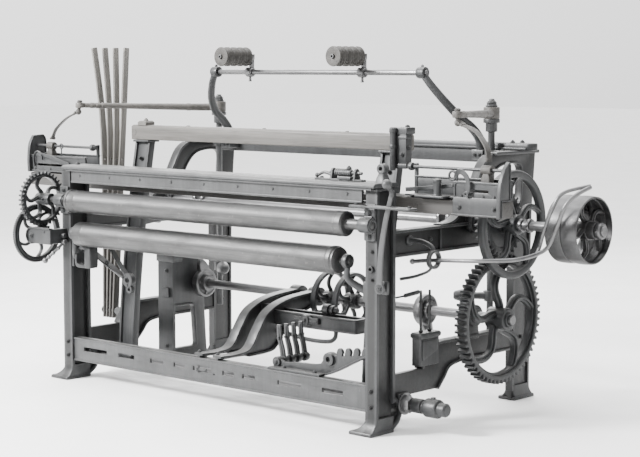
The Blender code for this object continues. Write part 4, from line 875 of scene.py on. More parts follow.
def take_up_train():
    y, z = ROLLER_Y - 0.004, TAKE_UP_Z
    module = TAKE_UP_DROP / 24
    pitch, small = module * 18, module * 6
    s = Shape()
    s.plate("X", gear_outline(y, z, 36, pitch, module), -1.012, -0.99, (circle(y, z, pitch - 0.019, 60),),
        0.0015)
    s.tube("X", y, z, pitch - 0.021, pitch - 0.015, -1.015, -0.987, 0.002, 60)
    s.arms("X", y, z, 5, 0.022, pitch - 0.014, -1.008, -0.994, 0.015, 0.55, 0.3, 0.003)
    s.tube("X", y, z, 0.0142, 0.027, -1.02, -0.932, 0.003)
    s.nut("Y", -0.96, z, 0.006, y - 0.026, -0.008, 0.002, 4)
    s.done("take_up_gear", "take_up", IRON_DARK)

    low, wheel = z - TAKE_UP_DROP, 0.13
    teeth = []
    for tooth in range(80):
        a = 2 * math.pi * tooth / 80
        teeth.append((y + wheel * math.cos(a), low + wheel * math.sin(a)))
        teeth.append((y + (wheel - 0.0045) * math.cos(a + 0.012),
            low + (wheel - 0.0045) * math.sin(a + 0.012)))
    s = Shape()
    s.plate("X", teeth, -1.047, -1.031, (circle(y, low, wheel - 0.02, 60),), 0.001)
    s.tube("X", y, low, wheel - 0.026, wheel - 0.012, -1.05, -1.028, 0.003, 64)
    s.arms("X", y, low, 5, 0.018, wheel - 0.02, -1.045, -1.033, 0.013, 0.55, 0.9, 0.003)
    s.plate("X", gear_outline(y, low, 12, small, module, 0.5), -1.014, -0.986, (), 0.0015)
    s.turn("X", y, low, [(0, -1.053), (0.018, -1.053), (0.022, -1.05), (0.022, -1.018), (0.018, -1.014),
        (0.011, -1.013), (0.011, -0.843), (0, -0.842)], 32, edge=0.0015)
    s.done("ratchet_wheel", "ratchet", IRON_DARK)

    s = Shape()
    front = [(-0.865, low - 0.036), (-0.865, low + 0.032), (-0.99, low + 0.032),
        *circle(-0.99, low - 0.002, 0.034, 20, math.pi / 2, math.pi)]
    s.plate("Y", front, -0.582, -0.572, (), 0.003)
    s.plate("Y", ribbon(front[1:], 0.006), -0.588, -0.566)
    s.box((-0.893, -0.867), (-0.577, POST_FRONT - GAP), (low - 0.034, low + 0.03), 0.004)
    s.nut("Y", -0.99, low - 0.002, 0.011, -0.582, -0.009, 0.004)
    s.nut("Y", -0.905, low + 0.018, 0.005, -0.582, -0.004)
    s.done("ratchet_bracket", "frame", IRON)

    s = Shape()
    lever = smooth([(-0.852, -0.515, 0.61), (-0.862, -0.54, 0.582), (-0.876, -0.566, 0.556),
        (-0.89, -0.59, 0.53)])
    s.rod(lever, (0.0065, 0.006))
    s.ball(lever[-1], 0.0125)
    for k in (8, 14, 19):
        s.ball(lever[k], 0.0095, 16)
    s.drum("X", -0.515, 0.61, 0.0115, -0.861, -0.842)
    s.done("take_up_pawl", "pawl", STEEL_X)


post_bearing(1, "take_up_bearing_right")
post_bearing(-1, "take_up_bearing_left")
take_up_roller()
cloth_roller()
cloth_arm(1, "cloth_roller_arm_right", 0.772)
cloth_arm(-1, "cloth_roller_arm_left", 0.788)
take_up_train()


# ---------------------------------------------------------------- sley
def sword_y(z):
    """Middle of a sword's thickness at height z."""
    lean = (z - ROCKER_Z) / (1.05 - ROCKER_Z)
    return ROCKER_Y + 0.01 * lean + 0.105 * lean ** 1.6


LAY_BACK = sword_y(0.825) - 0.0185


def rocker_shaft():
    s = Shape()
    s.turn("X", ROCKER_Y, ROCKER_Z, [(0, -0.935), (0.013, -0.935), (ROCKER_R, -0.933), (ROCKER_R, 0.94),
        (0.028, 0.942), (0.028, 0.985), (0.022, 0.987), (0.022, 1.0), (0.034, 1.002), (0.036, 1.008),
        (0.036, 1.056), (0.034, 1.062), (0.026, 1.064), (0.026, 1.094), (0.02, 1.1), (0, 1.1)], 40,
        edge=0.002)
    s.nut("X", ROCKER_Y, ROCKER_Z, 0.034, 0.9, 0.03)
    s.nut("Z", 1.032, ROCKER_Y, 0.01, ROCKER_Z + 0.034, 0.008, 0, 4)
    made = s.done("rocker_shaft", "sley", STEEL_X)
    made.data.materials.append(IRON)
    for face in made.data.polygons:
        face.material_index = int(abs(face.center.x) > 0.936)


def sword(tag, x):
    s = Shape()
    heights = [ROCKER_Z + 0.95 * i / 24 for i in range(25)]
    path = [(sword_y(z), z) for z in heights if z < 1.043] + [(sword_y(1.043), 1.043)]
    s.plate("X", ribbon(path, 0.015), x - 0.04, x + 0.04)
    for place in (-0.04, 0.04):
        s.plate("X", ribbon(path, 0.034), x + place - 0.006, x + place + 0.006)
    s.tube("X", ROCKER_Y, ROCKER_Z, ROCKER_R + 0.001, 0.034, x - 0.048, x + 0.048, 0.003)
    for place in (-0.02, 0.02):
        s.plate("X", eased([(-0.262, 0.675), (-0.128, 0.69), (-0.116, 0.7), (-0.128, 0.712),
            (-0.262, 0.745)], 0.008), x + place - 0.005, x + place + 0.005, (circle(*ROD_EYE, 0.008, 20),),
            0.0015)
    for z in (0.85, 0.872):
        s.nut("Y", x, z, 0.009, sword_y(z) + 0.016, 0.008, 0.004)
    s.nut("Y", x, 0.97, 0.008, sword_y(0.97) - 0.016, -0.008, 0.003, 4)
    s.box((x - 0.048, x + 0.048), (-0.236, -0.168), (1.04, 1.0495), 0.003)
    s.done("sword_" + tag, "sley", IRON)


def lay():
    s = Shape()
    b = LAY_BACK
    s.plate("X", eased([(b - LAY_DEPTH, 0.83), (b, 0.83), (b, 0.892), (b - LAY_DEPTH, 0.886)], 0.004), -1.3,
        1.345, (), 0.003)
    s.plate("X", eased([(b - 0.074, 0.884), (b - 0.004, 0.8895), (b - 0.004, 0.8915), (b - 0.074, 0.887)],
        0.001), -0.88, 0.88, (), 0.0006)
    for x in (-0.64, -0.68, 0.72, 0.76):
        s.nut("Y", x, 0.86, 0.009, b - LAY_DEPTH, -0.006, 0.003, 4)
    for x in (-1.27, -0.945, 0.955, 1.31):
        s.nut("Y", x, 0.857, 0.008, b - LAY_DEPTH, -0.005)
    # The lay beam's dark wood is painted shade.
    s.done("lay_beam", "sley", WOOD_LAY_SHADED)

    s = Shape()
    cap = eased([(-0.226, 1.05), (-0.168, 1.05), (-0.168, 1.108), (-0.178, 1.114), (-0.216, 1.114),
        (-0.226, 1.108)], 0.004)
    s.plate("X", cap, -0.73, 0.815, (), 0.003)
    s.tube("Y", -0.712, 1.082, 0.008, 0.014, -0.2275, -0.224, 0.001, 32)
    s.drum("Y", -0.712, 1.082, 0.0085, -0.2272, -0.2262, 0.0004)
    s.loft([(-0.692, -0.638, -0.224, -0.17, 1.112), (-0.692, -0.638, -0.224, -0.17, 1.126),
        (-0.686, -0.644, -0.218, -0.176, 1.132)], 0.004)
    s.nut("Z", -0.665, -0.197, 0.009, 1.132, 0.008, 0.004)
    for x in (-0.4, 0.05, 0.5):
        s.nut("Z", x, -0.197, 0.007, 1.1135, 0.004, 0, 4)
    s.done("sley_cap", "sley", WOOD_X)

    s = Shape()
    s.box((0.79, 0.848), (-0.262, -0.2266), (0.99, 1.125), 0.003)
    s.box((0.786, 0.852), (-0.264, -0.21), (1.1146, 1.142), 0.004)
    s.box((0.786, 0.852), (-0.266, -0.228), (0.985, 1.004), 0.003)
    s.box((0.787, 0.851), (-0.264, -0.2275), (1.096, 1.108), 0.003)
    s.turn("Z", 0.794, -0.272, [(0, 0.978), (0.01, 0.978), (0.012, 0.984), (0.012, 1.06), (0.014, 1.064),
        (0.014, 1.072), (0.012, 1.076), (0.012, 1.12), (0.015, 1.122), (0.015, 1.136), (0.01, 1.142),
        (0, 1.142)], 32, edge=0.001)
    s.nut("Z", 0.832, -0.232, 0.009, 1.142, 0.007, 0.002)
    s.nut("Y", 0.83, 1.04, 0.009, -0.262, -0.007, 0.003)
    s.nut("X", -0.244, 1.065, 0.008, 0.848, 0.007, 0.003)
    s.done("cap_post", "sley", IRON)


def hoop(x, y, z, radius):
    """Upright circle of wire, closed on itself."""
    turns = [2 * math.pi * k / 20 for k in range(21)]
    return [(x + radius * math.cos(a), y, z + radius * math.sin(a)) for a in turns]


def shuttle_box(side, name, tall):
    """Open-topped box at an end of the lay, with the spindle above it."""
    s = Shape()
    floor, b = BOX_FLOOR, LAY_BACK
    front = b - LAY_DEPTH
    inner, mouth, outer = side * 0.9, side * 1.13, side * 1.345
    if side < 0:
        mouth, outer = -0.91, -1.3
    along, wall = sorted((inner, outer)), sorted((mouth, outer))
    end, bracket = sorted((outer, outer - side * 0.01)), sorted((inner, inner + side * 0.012))
    y, z = b - 0.036, tall + 0.034
    s.box((along[0] + 0.002, along[1] - 0.002), (front + 0.001, b - 0.001), (floor + 0.0005, floor + 0.006),
        0.001)
    back_wall = pane((along[0] + 0.001, along[1] - 0.001), (floor, tall - 0.002), 0.02)
    s.plate("Y", back_wall, b - 0.008, b)
    slot = pane((wall[0] + 0.05, wall[1] - 0.06), (floor + 0.026, floor + 0.036), 0.005)
    face = pane((wall[0] + 0.002, wall[1] - 0.002), (floor + 0.001, tall - 0.01), 0.016)
    s.plate("Y", face, front, front + 0.008, (slot,), 0.002)
    lip = inset(face, -0.0006)
    s.plate("Y", lip, front - 0.004, front + 0.002, (inset(lip, 0.007),), 0.0015)
    s.box((wall[0] + 0.001, wall[1] - 0.001), (front - 0.005, front + 0.009), (tall - 0.014, tall - 0.008))
    s.box(along, (b - 0.012, b + 0.004), (tall - 0.007, tall))
    if side < 0:
        blade = smooth([(front - 0.012, floor), (front - 0.014, 0.95), (front - 0.006, 1.015),
            (front + 0.014, 1.052)], 6)
        blade += [(b - 0.004, 1.055)] + smooth([(b + 0.006, 1.045), (b + 0.012, 1.015), (b + 0.012, floor)],
            5)
        s.plate("X", blade, *end, (), 0.003)
    else:
        blade = smooth([(front - 0.014, 0.832), (front - 0.013, 0.9), (front - 0.004, 0.96),
            (front + 0.018, 1.004), (front + 0.042, 1.028)], 6) + [(front + 0.05, 1.02),
            (front + 0.05, floor), (front - 0.002, floor), (front - 0.002, 0.832)]
        s.plate("X", blade, *end, (), 0.003)
        s.plate("Y", pane((mouth, outer - 0.002), (0.834, floor + 0.006), 0.006), front - 0.006,
            front - 0.0005, (), 0.0015)
        s.box((mouth - 0.004, outer - 0.003), (front - 0.009, front - 0.002), (0.8325, 0.839))
        for x in (mouth + 0.03, outer - 0.03):
            s.nut("Y", x, 0.862, 0.008, front - 0.006, -0.007, 0.003)
    s.lip("X", blade, 0.006, end[0] - 0.003, end[1] + 0.003, 0.0015)
    s.box(bracket, (b - 0.0105, b + 0.0006), (floor + 0.001, z + 0.012), 0.003)
    s.box(bracket, (b - 0.04, b), (z - 0.01, z + 0.01), 0.003)
    s.tube("X", y, z, 0.006, 0.015, bracket[0] - 0.002, bracket[1] + 0.002, 0.003, 32)
    s.drum("X", y, z, 0.006, along[0] + 0.001, along[1] - 0.001, 0.001)
    s.nut("X", y, z, 0.011, inner, -side * 0.008, 0.003)
    for i in range(4):
        x = wall[0] + 0.035 + (wall[1] - wall[0] - 0.07) * i / 3
        s.nut("Y", x, floor + 0.012, 0.0055, front, -0.004)
    for x in (side * 1.0, side * 1.18):
        s.nut("Y", x, tall - 0.03, 0.007, b, 0.006, 0.003)
    if side > 0:
        s.plate("Z", pane((0.975, 1.11), (front - 0.04, front + 0.02), 0.008), floor, floor + 0.008)
        s.turn("Z", 1.07, front - 0.02, [(0, floor + 0.002), (0.016, floor + 0.002), (0.017, floor + 0.01),
            (0.0135, floor + 0.014), (0.0135, floor + 0.054), (0.016, floor + 0.058),
            (0.016, floor + 0.066), (0.011, floor + 0.07), (0, floor + 0.07)], 32, edge=0.001)
        hook = smooth([(1.13, front + 0.012, 0.958), (1.142, front + 0.004, 0.985),
            (1.172, front - 0.01, 0.992), (1.2, front - 0.014, 0.972), (1.206, front - 0.014, 0.94),
            (1.198, front - 0.013, 0.914)])
        s.strap(hook, 0.005, 0.02)
        s.tube("Y", 1.197, 0.912, 0.004, 0.0115, front - 0.017, front - 0.009, 0.002, 24)
        s.rod(hoop(1.118, front + 0.01, 0.975, 0.016), 0.0045, 10)
        s.strap([(0.905, front + 0.004, 0.915), (0.985, front + 0.006, 0.922),
            (1.128, front + 0.004, 0.94)], 0.006, 0.016)
        s.nut("Y", 1.128, 0.94, 0.007, front, -0.006, 0.003)
    else:
        top = tall - 0.004
        s.rod([(-1.085, y - 0.03, top - 0.012), (-1.085, y - 0.03, top + 0.03)], 0.003, 10)
        s.rod(hoop(-1.085, y - 0.03, top + 0.04, 0.01), 0.0032, 10)
        s.drum("Y", -0.965, 0.925, 0.008, front - 0.012, front, 0.003)
        s.strap([(-1.255, front - 0.006, 0.975), (-1.15, front - 0.008, 0.962),
            (-1.02, front - 0.006, 0.93)], 0.006, 0.016)
        strap_hook = smooth([(-1.26, front - 0.006, 0.915), (-1.262, front - 0.01, 0.96),
            (-1.235, front - 0.012, 0.985), (-1.205, front - 0.012, 0.968), (-1.2, front - 0.01, 0.945)])
        s.strap(strap_hook, 0.01, 0.005)
    s.done(name, "sley", IRON)

    s = Shape()
    x = PICKER_X[side]
    s.tube("X", y, z, 0.0066, 0.0175, x - 0.022, x + 0.022, 0.004, 32)
    s.loft([(x - 0.017, x + 0.017, y - 0.013, y + 0.013, floor + 0.012),
        (x - 0.02, x + 0.02, y - 0.016, y + 0.016, floor + 0.02),
        (x - 0.02, x + 0.02, y - 0.016, y + 0.016, z - 0.03),
        (x - 0.014, x + 0.014, y - 0.012, y + 0.012, z - 0.013)], 0.006)
    picker = "picker_" + name.rsplit("_", 1)[1]
    s.done(picker, picker, HIDE)


rocker_shaft()
for sword_tag, sword_x in SWORDS.items():
    sword(sword_tag, sword_x)
lay()
shuttle_box(-1, "shuttle_box_left", 0.975)
shuttle_box(1, "shuttle_box_right", 0.965)


# ---------------------------------------------------------------- crankshaft and drive
def crankshaft():
    s = Shape()
    half = 0.024
    throws = list(SWORDS.values())
    stops = [SHAFT_LEFT, throws[0] - half, throws[0] + half, throws[1] - half, throws[1] + half, 1.485]
    for low, high in zip(stops[::2], stops[1::2]):
        s.drum(*CRANK_LINE, SHAFT_R, low, high, 0.002)
    for x in throws:
        for web in (x - half, x + half):
            arm = eased([(SHAFT_Y - 0.025, CRANK_Z + 0.027), (SHAFT_Y + 0.025, CRANK_Z + 0.027),
                (SHAFT_Y + 0.02, CRANK_Z - CRANK_THROW - 0.023),
                (SHAFT_Y - 0.02, CRANK_Z - CRANK_THROW - 0.023)], 0.014)
            s.plate("X", arm, web - 0.009, web + 0.009, (), 0.003)
        s.drum("X", SHAFT_Y, CRANK_Z - CRANK_THROW, 0.0125, x - half, x + half, 0.001)
    s.tube(*CRANK_LINE, 0.018, 0.031, 1.454, 1.476, 0.004)
    s.nut("Y", 1.465, CRANK_Z, 0.006, SHAFT_Y - 0.03, -0.007, 0.002, 4)
    for x in (1.112, 1.148, 1.264):
        s.tube(*CRANK_LINE, 0.018, 0.027, x - 0.008, x + 0.008, 0.003)
        s.nut("Y", x, CRANK_Z, 0.005, SHAFT_Y - 0.026, -0.006, 0.002, 4)
    s.done("crankshaft", "crank", STEEL_X)

    s = Shape()
    small = MODULE * PINION_TEETH / 2
    s.plate("X", gear_outline(SHAFT_Y, CRANK_Z, PINION_TEETH, small, MODULE), 0.978, 1.03,
        (circle(SHAFT_Y, CRANK_Z, small - 0.024, 48),), 0.0015)
    s.tube(*CRANK_LINE, 0.03, small - 0.022, 0.988, 1.018, 0.003)
    s.tube(*CRANK_LINE, HUB_BORE, 0.037, 0.93, 1.036, 0.004)
    s.tube(*CRANK_LINE, small - 0.03, small - 0.022, 0.98, 1.028, 0.003)
    s.done("crank_pinion", "crank", IRON_DARK)

    s = Shape()
    s.turn(*CRANK_LINE, [(0.184, 1.05), (0.206, 1.048), (0.212, 1.054), (0.212, 1.076), (0.206, 1.082),
        (0.184, 1.08), (0.18, 1.072), (0.18, 1.058)], 96, True, 0.003)
    s.tube(*CRANK_LINE, HUB_BORE, 0.04, 1.042, 1.098, 0.005)
    s.arms(*CRANK_LINE, 5, 0.03, 0.186, 1.057, 1.073, 0.024, 0.45, 0.2, 0.005)
    s.nut("Y", 1.088, CRANK_Z, 0.007, SHAFT_Y - 0.038, -0.008, 0.002, 4)
    s.done("flywheel", "crank", IRON_DARK)
    belt_pulley("fast_pulley", "crank", *FAST_PULLEY, (1.276, 1.368))
    belt_pulley("loose_pulley", "loose_pulley", *LOOSE_PULLEY, (1.37, 1.452))


def belt_pulley(name, body, low, high, hub):
    """Crowned rim with an inner lip and curved arms."""
    s = Shape()
    middle = (low + high) / 2
    profile = [(0.121, low), (0.1275, low)]
    for i in range(9):
        t = -1 + i / 4
        profile.append((0.1298 - 0.0018 * t * t, middle + t * (high - low - 0.006) / 2))
    profile += [(0.1275, high), (0.121, high), (0.1235, high - 0.01), (0.1235, low + 0.01)]
    s.turn(*CRANK_LINE, profile, 96, True, 0.001)
    s.tube(*CRANK_LINE, 0.117, 0.1245, middle - 0.009, middle + 0.009, 0.004, 72)
    s.tube(*CRANK_LINE, HUB_BORE, 0.033, *hub, 0.004)
    s.tube(*CRANK_LINE, 0.03, 0.038, middle - 0.016, middle + 0.016, 0.004)
    s.arms(*CRANK_LINE, 5, 0.026, 0.121, middle - 0.008, middle + 0.008, 0.017, 0.5, 0.5, 0.004)
    s.done(name, body, STEEL_R)


def connecting_rod(tag, x):
    s = Shape()
    pin, eye = (SHAFT_Y, CRANK_Z - CRANK_THROW), ROD_EYE
    s.plate("X", ribbon([(pin[0] - 0.02, pin[1] - 0.001), (eye[0] + 0.014, eye[1] + 0.001)], (0.03, 0.02)),
        x - 0.0065, x + 0.0065, (), 0.003)
    s.tube("X", *pin, 0.0134, 0.029, x - 0.0115, x + 0.0115, 0.003, 36)
    s.tube("X", *eye, 0.0085, 0.022, x - 0.012, x + 0.012, 0.003, 36)
    for dy in (-0.036, -0.05):
        s.box((x - 0.01, x + 0.01), (pin[0] + dy - 0.004, pin[0] + dy + 0.004),
            (pin[1] - 0.018, pin[1] + 0.016), 0.001)
    s.done("connecting_rod_" + tag, "connecting_rod_" + tag, STEEL_X)


crankshaft()
for rod_tag, rod_x in SWORDS.items():
    connecting_rod(rod_tag, rod_x)


# ---------------------------------------------------------------- tappet shaft
def picking_tappet(s, side):
    x = side * 0.64
    turn = math.radians(100 if side < 0 else -80)
    nose = smooth([(SHAFT_Y + math.cos(a + turn) * r, TAPPET_Z + math.sin(a + turn) * r)
        for a, r in ((-0.9, 0.056), (-0.35, 0.084), (0.0, 0.112), (0.22, 0.1), (0.42, 0.056))], 5)
    s.turn(*TAPPET_LINE, [(TIGHT_BORE, x - 0.014), (0.048, x - 0.014), (0.052, x - 0.018),
        (0.06, x - 0.018), (0.064, x - 0.014), (0.064, x + 0.014), (0.06, x + 0.018), (0.052, x + 0.018),
        (0.048, x + 0.014), (TIGHT_BORE, x + 0.014)], 56, True, 0.002)
    s.tube(*TAPPET_LINE, TIGHT_BORE, 0.037, x - 0.034, x + 0.034, 0.004)
    s.plate("X", nose, x - 0.012, x + 0.012, (), 0.003)
    for a in (0.6, 3.0, 4.6):
        s.nut("X", SHAFT_Y + 0.045 * math.cos(a), TAPPET_Z + 0.045 * math.sin(a), 0.0065, x + 0.014, 0.006)


def tappet_shaft():
    s = Shape()
    s.drum(*TAPPET_LINE, SHAFT_R, SHAFT_LEFT, 1.075, 0.002, 32)
    for side in (-1, 1):
        picking_tappet(s, side)
    for x in (-0.79, 0.36):
        s.tube(*TAPPET_LINE, TIGHT_BORE, 0.029, x - 0.012, x + 0.012, 0.003)
        s.nut("Y", x, TAPPET_Z, 0.006, SHAFT_Y - 0.028, -0.007, 0.002, 4)
    s.done("tappet_shaft", "tappets", STEEL_X)

    s = Shape()
    pitch = MODULE * GEAR_TEETH / 2
    s.plate("X", gear_outline(SHAFT_Y, TAPPET_Z, GEAR_TEETH, pitch, MODULE), 0.98, 1.028,
        (circle(SHAFT_Y, TAPPET_Z, pitch - 0.026, 96),), 0.002)
    s.tube(*TAPPET_LINE, pitch - 0.036, pitch - 0.024, 0.99, 1.018, 0.003, 96)
    s.arms(*TAPPET_LINE, 5, 0.038, pitch - 0.03, 0.994, 1.014, 0.028, 0.55, 0.1, 0.008)
    s.tube(*TAPPET_LINE, HUB_BORE, 0.045, 0.966, 1.054, 0.005, 56)
    s.tube(*TAPPET_LINE, HUB_BORE, 0.03, 0.96, 1.062, 0.003, 40)
    s.box((1.04, 1.058), (SHAFT_Y - 0.005, SHAFT_Y + 0.005), (TAPPET_Z + 0.016, TAPPET_Z + 0.025), 0.001)
    s.done("tappet_gear", "tappets", IRON_DARK)

    for place, name in ((0.13, "tappet_wheel_1"), (0.25, "tappet_wheel_2")):
        s = Shape()
        s.turn(*TAPPET_LINE, [(0.108, place - 0.014), (0.118, place - 0.014), (0.12, place - 0.011),
            (0.12, place + 0.011), (0.118, place + 0.014), (0.108, place + 0.014), (0.104, place + 0.006),
            (0.104, place - 0.006)], 72, True, 0.0015)
        s.arms(*TAPPET_LINE, 6, 0.024, 0.108, place - 0.007, place + 0.007, 0.013, 0.45, 0.4, 0.003)
        s.tube(*TAPPET_LINE, HUB_BORE, 0.033, place - 0.028, place + 0.036, 0.004)
        s.nut("Y", place + 0.022, TAPPET_Z, 0.006, SHAFT_Y - 0.032, -0.007, 0.002, 4)
        s.done(name, "tappets", IRON_DARK)


tappet_shaft()


# ---------------------------------------------------------------- middle of the loom
def middle_bracket():
    s = Shape()
    top = smooth([(-0.476, 0.2), (-0.38, 0.197), (-0.3, 0.212), (-0.248, 0.28), (-0.185, 0.352),
        (-0.07, 0.392), (SHAFT_Y - 0.03, 0.408)])
    low = smooth([(SHAFT_Y - 0.03, 0.352), (-0.05, 0.3), (-0.125, 0.215), (-0.2, STAND_Z),
        (-0.476, STAND_Z)])
    for place in (-0.06, 0.045):
        s.plate("X", top + low, place - 0.007, place + 0.007)
        s.plate("X", ribbon(top, 0.01), place - 0.024, place + 0.024, (), 0.003)
        s.plate("X", ribbon(low[:28], 0.01), place - 0.018, place + 0.018, (), 0.003)
        s.tube(*TAPPET_LINE, BRACKET_BORE, 0.041, place - 0.026, place + 0.026, 0.004)
        s.nut("Z", place - 0.014, -0.455, 0.008, 0.204, 0.007, 0.003)
    s.box((-0.064, 0.049), (-0.112, -0.088), (0.3, 0.372), 0.003)
    beam = pane((0.036, 0.5), (-0.142, -0.064), 0.01)
    s.plate("Z", beam, 0.3, 0.356, (inset(beam, 0.011),), 0.003)
    s.plate("Z", inset(beam, 0.0015), 0.2995, 0.314)
    s.plate("Z", inset(beam, -0.0025), 0.348, 0.3575, (inset(beam, 0.013),), 0.002)
    s.plate("Z", inset(beam, -0.002), 0.2985, 0.3045, (inset(beam, 0.008),), 0.0015)
    clamp = eased([(0.172, 0.32), (0.215, 0.32), (0.224, 0.312), (0.256, 0.312), (0.265, 0.32),
        (0.308, 0.32), (0.308, 0.346), (0.265, 0.346), (0.256, 0.356), (0.224, 0.356), (0.215, 0.346),
        (0.172, 0.346)], 0.004)
    s.plate("Y", clamp, -0.156, -0.14, (), 0.003)
    s.box((0.176, 0.304), (-0.16, -0.15), (0.33, 0.336))
    s.turn("Y", 0.24, 0.334, [(0, -0.172), (0.008, -0.172), (0.011, -0.168), (0.011, -0.164),
        (0.021, -0.163), (0.021, -0.152), (0, -0.152)], 32, edge=0.001)
    s.rod(smooth([(0.06, -0.1, 0.262), (0.2, -0.11, 0.246), (0.33, -0.12, 0.25), (0.372, -0.122, 0.27),
        (0.378, -0.122, 0.302)]), 0.009)
    pin = (-0.104, 0.38)
    for radius, low_x, high_x in ((0.022, 0.3, 0.33), (0.019, 0.34, 0.356)):
        s.tube("X", *pin, 0.012, radius, low_x, high_x, 0.003, 32)
    s.drum("X", *pin, 0.012, 0.29, 0.372)
    s.done("middle_bracket", "frame", IRON)


def shaft_standard():
    s = Shape()
    x = STANDARD_X
    side = eased([(-0.08, 0.01), (0.19, 0.01), (0.17, 0.33), (0.165, 0.52), (-0.08, 0.52)], 0.006)
    window = eased([(-0.03, 0.09), (0.12, 0.09), (0.105, 0.29), (-0.03, 0.29)], 0.02)
    s.plate("X", side, x - 0.008, x + 0.008, (window,), 0.003)
    s.lip("X", window, 0.009, x - 0.014, x + 0.014)
    s.box((x - 0.016, x + 0.08), (-0.094, -0.08), (0.01, 0.52), 0.003)
    s.loft([(x - 0.03, x + 0.1, -0.112, 0.19, 0.0), (x - 0.03, x + 0.1, -0.112, 0.19, 0.01),
        (x - 0.016, x + 0.084, -0.098, 0.172, 0.024)], 0.006)
    s.box((x - 0.02, x + 0.086), (-0.1, -0.04), (0.5, 0.53), 0.003)
    s.loft([(x - 0.01, x + 0.074, -0.096, -0.046, 0.528), (x + 0.004, x + 0.06, -0.092, -0.05, 0.556),
        (x + 0.008, x + 0.056, -0.09, -0.052, 0.59), (x + 0.018, x + 0.046, -0.084, -0.058, 0.6)], 0.005)
    s.tube(*TAPPET_LINE, BRACKET_BORE, 0.041, x - 0.018, x + 0.016, 0.004)
    s.box((x + 0.02, x + 0.06), (-0.104, -0.088), (0.34, 0.385), 0.004)
    for z in (0.46, 0.12):
        s.nut("Y", x + 0.04, z, 0.009, -0.094, -0.008, 0.004)
    s.done("shaft_standard", "frame", IRON)


def treadles():
    pin_x, pin_z = 0.345, 0.212
    lever = smooth([(pin_x, pin_z), (pin_x - 0.007, 0.255), (pin_x - 0.02, 0.3), (pin_x - 0.024, 0.352)])
    for i in range(4):
        y = -0.4 + TREADLE_PITCH * i
        s = Shape()
        s.plate("Y", ribbon(lever, (0.026, 0.02)), y - 0.005, y + 0.005)
        s.plate("Y", ribbon(lever[3:-2], (0.008, 0.006)), y - 0.008, y + 0.008, (), 0.0015)
        s.tube("Y", pin_x, pin_z, 0.0098, 0.0185, y - 0.011, y + 0.011, 0.003, 32)
        s.drum("Y", lever[16][0], lever[16][1], 0.006, y - 0.014, y + 0.014, 0.001)
        s.done(f"treadle_{i + 1}", f"treadle_{i + 1}", IRON)
    s = Shape()
    boss_x, boss_z = 0.62, 0.253
    teeth = []
    for i in range(4):
        u, rise = 0.652 + TREADLE_PITCH * i, 0.005 * i
        teeth += smooth([(u, 0.27 + rise), (u + 0.004, 0.29 + rise), (u + 0.014, 0.301 + rise),
            (u + 0.026, 0.296 + rise), (u + 0.032, 0.284 + rise), (u + 0.028, 0.274 + rise),
            (u + 0.036, 0.27 + rise)], 3)
    under = smooth([(0.33, STAND_Z), (0.56, STAND_Z), (0.64, 0.206), (0.72, 0.244), (0.79, 0.278),
        (0.82, 0.285)], 5)
    outline = [*under, (0.82, 0.292), *teeth[::-1], *circle(boss_x, boss_z, 0.028, 12, 0.7, 2.3),
        *smooth([(0.575, 0.232), (0.54, 0.225), (0.47, 0.222), (0.385, 0.214)], 4),
        *circle(pin_x, pin_z, 0.02, 10, 0.5, 2.2), (0.322, 0.196)]
    s.plate("Y", outline, -0.437, -0.423)
    s.plate("Y", ribbon(under[6:], 0.007), -0.444, -0.418)
    s.box((0.33, 0.6), (-0.476, -0.424), (STAND_Z, 0.1955))
    s.tube("Y", boss_x, boss_z, 0.0105, 0.0265, -0.449, -0.413, 0.004)
    s.turn("Y", pin_x, pin_z, [(0, -0.452), (0.008, -0.451), (0.01, -0.446), (0.018, -0.446),
        (0.02, -0.442), (0.02, -0.421), (0.0095, -0.42), (0.009, -0.252), (0, -0.252)], 40, edge=0.001)
    s.nut("Y", pin_x, pin_z, 0.013, -0.262, 0.009)
    for x in (0.4, 0.56):
        s.nut("Z", x, -0.458, 0.008, 0.1955, 0.007, 0.003)
    s.done("treadle_stand", "frame", IRON)


middle_bracket()
shaft_standard()
treadles()


# ---------------------------------------------------------------- picking motion
def arm_tip(side):
    return (side * (PICK_X + PICK_ARM * math.sin(PICK_SWING)), PICK_Y - PICK_ARM * math.cos(PICK_SWING))


